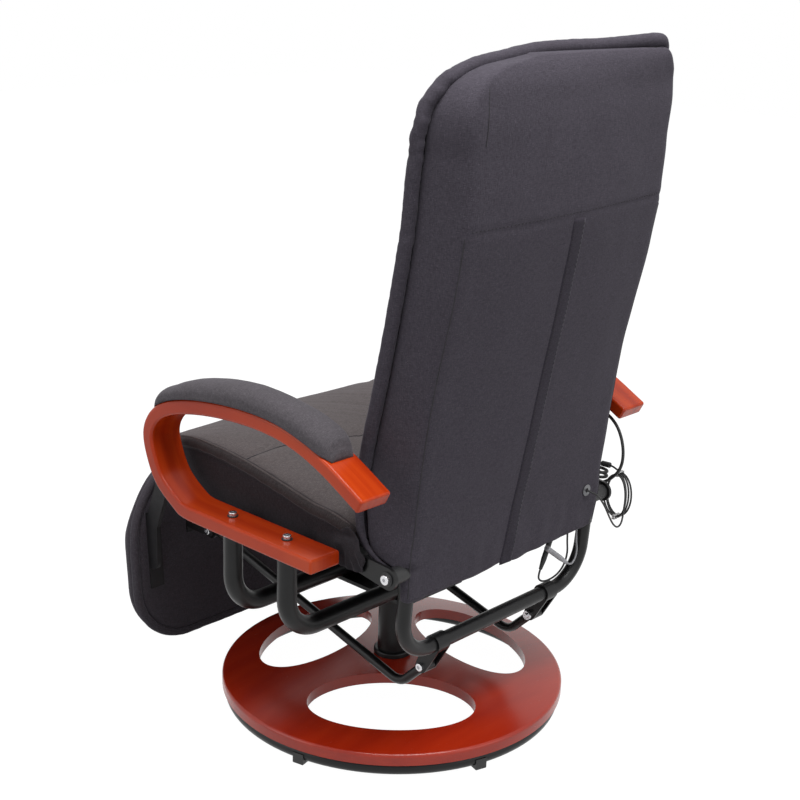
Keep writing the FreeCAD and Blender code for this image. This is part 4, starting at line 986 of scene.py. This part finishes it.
# The skirt under the seat's roll. Its rear end is a loose flap over the hinge, given by y and z of its
# upper edge and of its lower edge
SKIRT_LOW = 343.0
SKIRT_REAR = [(114, 379, 113, 341), (120, 383, 119, 339), (127, 387, 124, 336), (134, 389, 130, 335),
              (142, 386, 137, 334.5), (150, 380, 145, 334), (158, 372, 153, 334),
              (166, 364, 161, 334.5), (174, 357, 169, 336)]


def skirt_x(y, z, share):
    """How far out the skirt hangs: behind the roll at its top, and over the hinge plate at the rear."""
    tucked = 1.8 * float(ease(share, 0.1, 0.0) * ease(y, 116.0, 100.0))
    upper = max(seat_row(min(y, 118.0))[0], 235.0) + 0.8 - tucked
    lower = 239.8 + 4.9 * float(ease(y, 70.0, 88.0))
    return upper + (lower - upper) * float(ease(z, 380.0, 364.0))


def build_skirt(side):
    columns = [(y, seat_row(y)[1] - 12.0, y, SKIRT_LOW) for y in np.arange(-290.0, 110.0, 6.0)]
    rear = np.array(columns[-1:] + SKIRT_REAR)
    at = np.linspace(0, len(rear) - 1, 44)[1:]
    columns += list(np.stack([smooth(np.arange(len(rear)), rear[:, k], at) for k in range(4)], axis=1))
    shares = np.linspace(0, 1, 22)
    points = []
    for top_y, top_z, low_y, low_z in columns:
        for share in shares:
            y, z = top_y + (low_y - top_y) * share, top_z + (low_z - top_z) * share
            loose = float(ease(y, 96.0, 130.0))
            crease = 1 - 2.2 * abs(noise.noise(Vector((y / 15.0 + z / 45.0, z / 34.0, 3.0 * side))))
            crease += 0.7 - 1.4 * abs(noise.noise(Vector((y / 24.0 - z / 16.0, z / 40.0, 8.0 + side))))
            sway = 0.5 * noise.noise(Vector((y / 60.0, z / 40.0, 5.0 + side)))
            x = skirt_x(y, z, share) + (1 - loose) * sway * share + loose * 3.4 * max(crease, 0.0)
            points.append((side * x, y, z + 1.2 * share * noise.noise(Vector((y / 34.0, 2.0, side)))))
    faces = ring_faces(len(columns), len(shares), closed=False)
    skirt = new_mesh(f"seat_skirt_{SIDES[side]}", points, faces)
    area = sum(face.area for face in skirt.data.polygons)
    thicken(skirt, 0.9, 0)
    return skirt, area


for side in SIDES:
    skirt, skirt_area = build_skirt(side)
    finish_piece(skirt, boxing_cloth, "seat")


# Arm pads

# y, half-width, height of the top
ARM_PAD_ROWS = np.array([
    (-205, 18, 499.5), (-195, 25, 515), (-162, 29, 535), (-90, 30, 557.5), (0, 30, 568), (75, 30, 562.5),
    (125, 30, 551.5), (154, 27, 539.5), (167, 20, 528)], float)
ARM_MIDDLE = 286.0


def build_arm_pad(side):
    arm_tree = tree_of(nodes[f"arm_{SIDES[side]}"])
    rings = []
    for y in spaced((-205.0, -186.0, 2.0), (-186.0, 152.0, 5.0), (152.0, 167.5, 1.5)):
        half, top = row_at(ARM_PAD_ROWS, y)
        end = min(1.0, float(ease(y, -207.0, -188.0)) + 0.45, float(ease(y, 169.0, 154.0)) + 0.45)
        across = np.linspace(1, -1, 40)
        touch = side * ARM_MIDDLE + np.clip(half * np.array((-0.8, 0, 0.8)), -24, 24)
        bed = max(hit(arm_tree, (x, y, 700), (0, 0, -1))[0][2] for x in touch) + 0.4
        rise = (top - bed) * end
        dome = bed + 2.0 + (rise - 2.0) * np.maximum(0.0, 1 - np.abs(across) ** 2.7) ** (1 / 2.3)
        over = beside(half * across, dome)
        under = beside(np.linspace(-half, half, 30), np.full(30, bed))
        ring = softened(even(np.concatenate([over, under]), 90, closed=True), 1)
        rings.append(beside(side * ARM_MIDDLE + ring[:, 0], np.full(90, y), ring[:, 1]))
    arm_pad = skin(f"arm_pad_cloth_{SIDES[side]}", rings)
    inflate(arm_pad, lambda p: np.abs(np.abs(p[:, 0]) - ARM_MIDDLE) > 27.0, 3.0, pressure=2.5)
    reshape(arm_pad, lambda p, n: 0.7 * wobble(p, 60.0, 13.0 + side) * ease(n[:, 2], -0.2, 0.4)
            + 0.35 * wobble(p, 22.0, 15.0 + side) * ease(n[:, 2], -0.2, 0.4))
    return arm_pad


for side in SIDES:
    cushion(build_arm_pad(side), pad_cloth, "seat", 0.8, f"arm_pad_{SIDES[side]}")


# Leg rest

LEG_REAR_Y = -350.0
LEG_MIDDLE_Z = 230.0
LEG_TIP = math.radians(4.0)
LEG_HALF = 245.0
LEG_BOTTOM = 26.5
LEG_TOP = 349.5
LEG_ROUNDS = (102.0, 147.0)    # of the corners at the bottom and at the top


def leg_outline(inset, count=220):
    """The leg rest's rounded outline, seen from behind, x and z."""
    half, low, high = LEG_HALF - inset, LEG_BOTTOM + inset, LEG_TOP - inset
    points = []
    lower, upper = LEG_ROUNDS
    for x_sign, z_mid, z_sign, radius, start in ((1, low, 1, lower, 270), (1, high, -1, upper, 0),
                                                 (-1, high, -1, upper, 90), (-1, low, 1, lower, 180)):
        radius = max(radius - inset, 12.0)
        for angle in np.radians(np.linspace(start, start + 90, 16)):
            points.append((x_sign * (half - radius) + radius * math.cos(angle),
                           z_mid + z_sign * radius + radius * math.sin(angle)))
    return even(points, count, closed=True)


def tipped(points):
    """Places leg rest points given as x, depth in front of the board's rear face, z."""
    points = np.asarray(points, float)
    y, z = -points[:, 1], points[:, 2] - LEG_MIDDLE_Z
    return beside(points[:, 0], LEG_REAR_Y + y * math.cos(LEG_TIP) - z * math.sin(LEG_TIP),
                  LEG_MIDDLE_Z + y * math.sin(LEG_TIP) + z * math.cos(LEG_TIP))


def leg_ring(depth, inset):
    outline = leg_outline(inset)
    return tipped(beside(outline[:, 0], np.full(len(outline), depth), outline[:, 1]))


def build_leg_pad():
    rows = [(9.0, 40), (8.6, 24), (8.4, 15), (8.8, 8), (10, 2), (16, 2), (24, 4), (32, 9), (40, 18),
            (46, 32), (50, 50), (52.4, 74), (53.5, 96), (54, 118)]
    leg_pad = skin("leg_pad_front", [leg_ring(d, i) for d, i in rows])
    inflate(leg_pad, lambda p: p[:, 1] > LEG_REAR_Y - 24.0, 5.0)
    reshape(leg_pad, lambda p, n: ease(-n[:, 1], 0.0, 0.5)
            * (1.2 * wobble(p, 90.0, 17.0) + 0.6 * wobble(p, 35.0, 18.0)))
    roll = tube("leg_roll", leg_ring(4.0, 6.5), 7.2, sides=16, gather=0.08, pitch=13.0, closed=True, seed=3.0)
    return joined("leg_rest_pad", [leg_pad, roll])


leg_pad = build_leg_pad()
cushion(leg_pad, board_cloth, "leg_rest", 0.65, "leg_pad")

panel_rows = [(10.0, 60), (10.0, 15), (7.0, 13), (2.0, 13), (-0.4, 16), (-1.2, 24), (-1.6, 50), (-1.8, 100)]
leg_panel = skin("leg_rest_panel", [leg_ring(d, i) for d, i in panel_rows])
reshape(leg_panel, lambda p, n: 0.8 * wobble(p, 80.0, 21.0) * ease(n[:, 1], 0.3, 0.8))
finish_piece(leg_panel, board_cloth, "leg_rest", ("leg_board",))


# Handset pocket

def build_pocket():
    low, high = (np.array(c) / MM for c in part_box("handset_pocket"))
    middle = (low + high) / 2
    half = (high - low) / 2
    rings = []
    profile = [(0.0, 0.80, 0.30), (0.03, 0.93, 0.7), (0.10, 0.99, 0.92), (0.3, 1.0, 1.0), (0.6, 0.98, 1.0),
               (0.86, 0.97, 0.98), (0.93, 1.0, 1.0), (1.0, 1.0, 1.0)]
    angles = np.linspace(0, 2 * math.pi, 72, endpoint=False)

    def oval(wide, deep, z):
        c, s = np.cos(angles), np.sin(angles)
        x = middle[0] + deep * np.sign(c) * np.abs(c) ** 0.45
        y = middle[1] + wide * np.sign(s) * np.abs(s) ** 0.3
        return beside(x, y, np.full(72, z))

    for share, wide, deep in profile:
        rings.append(oval(half[1] * wide, half[0] * deep, low[2] + share * (high[2] - low[2])))
    for share in (1.0, 0.9, 0.4, 0.05):
        rings.append(oval(half[1] - 1.6, half[0] - 1.6, low[2] + share * (high[2] - low[2])))
    pocket = skin("handset_pocket_cloth", rings)
    reshape(pocket, lambda p, n: 0.25 * wobble(p, 16.0, 23.0))
    return pocket


pocket = build_pocket()
cushion(pocket, board_cloth, "seat", 0.2, "handset_pocket")


# Stage

def lamp(name, place, target, size, power):
    """A square lamp aimed at a target, in metres."""
    data = bpy.data.lights.new(name, "AREA")
    data.size = size
    data.energy = power
    obj = placed(name, data)
    obj.location = place
    obj.rotation_mode = "QUATERNION"
    obj.rotation_quaternion = (Vector(target) - Vector(place)).to_track_quat("-Z", "Y")


FLOOR_HALF = 8.0        # in metres
FLOOR_Z = -0.0005
floor_mesh = bpy.data.meshes.new("floor")
floor_corners = [(x * FLOOR_HALF, y * FLOOR_HALF, FLOOR_Z) for x, y in ((-1, -1), (1, -1), (1, 1), (-1, 1))]
floor_mesh.from_pydata(floor_corners, [], [(0, 1, 2, 3)])
floor = placed("floor", floor_mesh)


def seen_directly(tree):
    """1 for rays from the camera, from glossy surfaces and through clear ones."""
    path = tree.nodes.new("ShaderNodeLightPath")
    total = path.outputs["Is Camera Ray"]
    for name in ("Is Glossy Ray", "Is Transmission Ray"):
        add = tree.nodes.new("ShaderNodeMath")
        add.operation = "MAXIMUM"
        tree.links.new(total, add.inputs[0])
        tree.links.new(path.outputs[name], add.inputs[1])
        total = add.outputs["Value"]
    return total


GLOW_SHARE = 0.8        # the rest of the floor takes the shadow
floor_material = bpy.data.materials.new("pale_floor")
floor_material.use_nodes = True
tree = floor_material.node_tree
tree.nodes.clear()
diffuse = tree.nodes.new("ShaderNodeBsdfDiffuse")
put(diffuse, Color=(0.5, 0.5, 0.5, 1))
glow = tree.nodes.new("ShaderNodeEmission")
put(glow, Strength=1.24)
blend = tree.nodes.new("ShaderNodeMixShader")
scaled = tree.nodes.new("ShaderNodeMath")
scaled.operation = "MULTIPLY"
scaled.inputs[1].default_value = GLOW_SHARE
output = tree.nodes.new("ShaderNodeOutputMaterial")
link = tree.links.new
link(seen_directly(tree), scaled.inputs[0])
link(scaled.outputs["Value"], blend.inputs["Fac"])
link(diffuse.outputs["BSDF"], blend.inputs[1])
link(glow.outputs["Emission"], blend.inputs[2])
link(blend.outputs["Shader"], output.inputs["Surface"])
floor_mesh.materials.append(floor_material)

world = bpy.data.worlds.new("studio")
scene.world = world
world.use_nodes = True
tree = world.node_tree
sky = tree.nodes["Background"]
put(sky, Color=(1, 1, 1, 1))
level = tree.nodes.new("ShaderNodeMapRange")
put(level, To_Min=0.32, To_Max=1.0)
tree.links.new(seen_directly(tree), level.inputs["Value"])
tree.links.new(level.outputs["Result"], sky.inputs["Strength"])

lamp("top", (0.35, 0.7, 2.9), (0.1, 0.1, 0.5), 1.7, 74)
lamp("rear", (-0.6, 3.0, 1.7), (0, 0.2, 0.6), 2.2, 15)
lamp("left", (2.6, -1.2, 1.5), (0, 0, 0.5), 1.8, 14)

scene.view_settings.view_transform = "Standard"
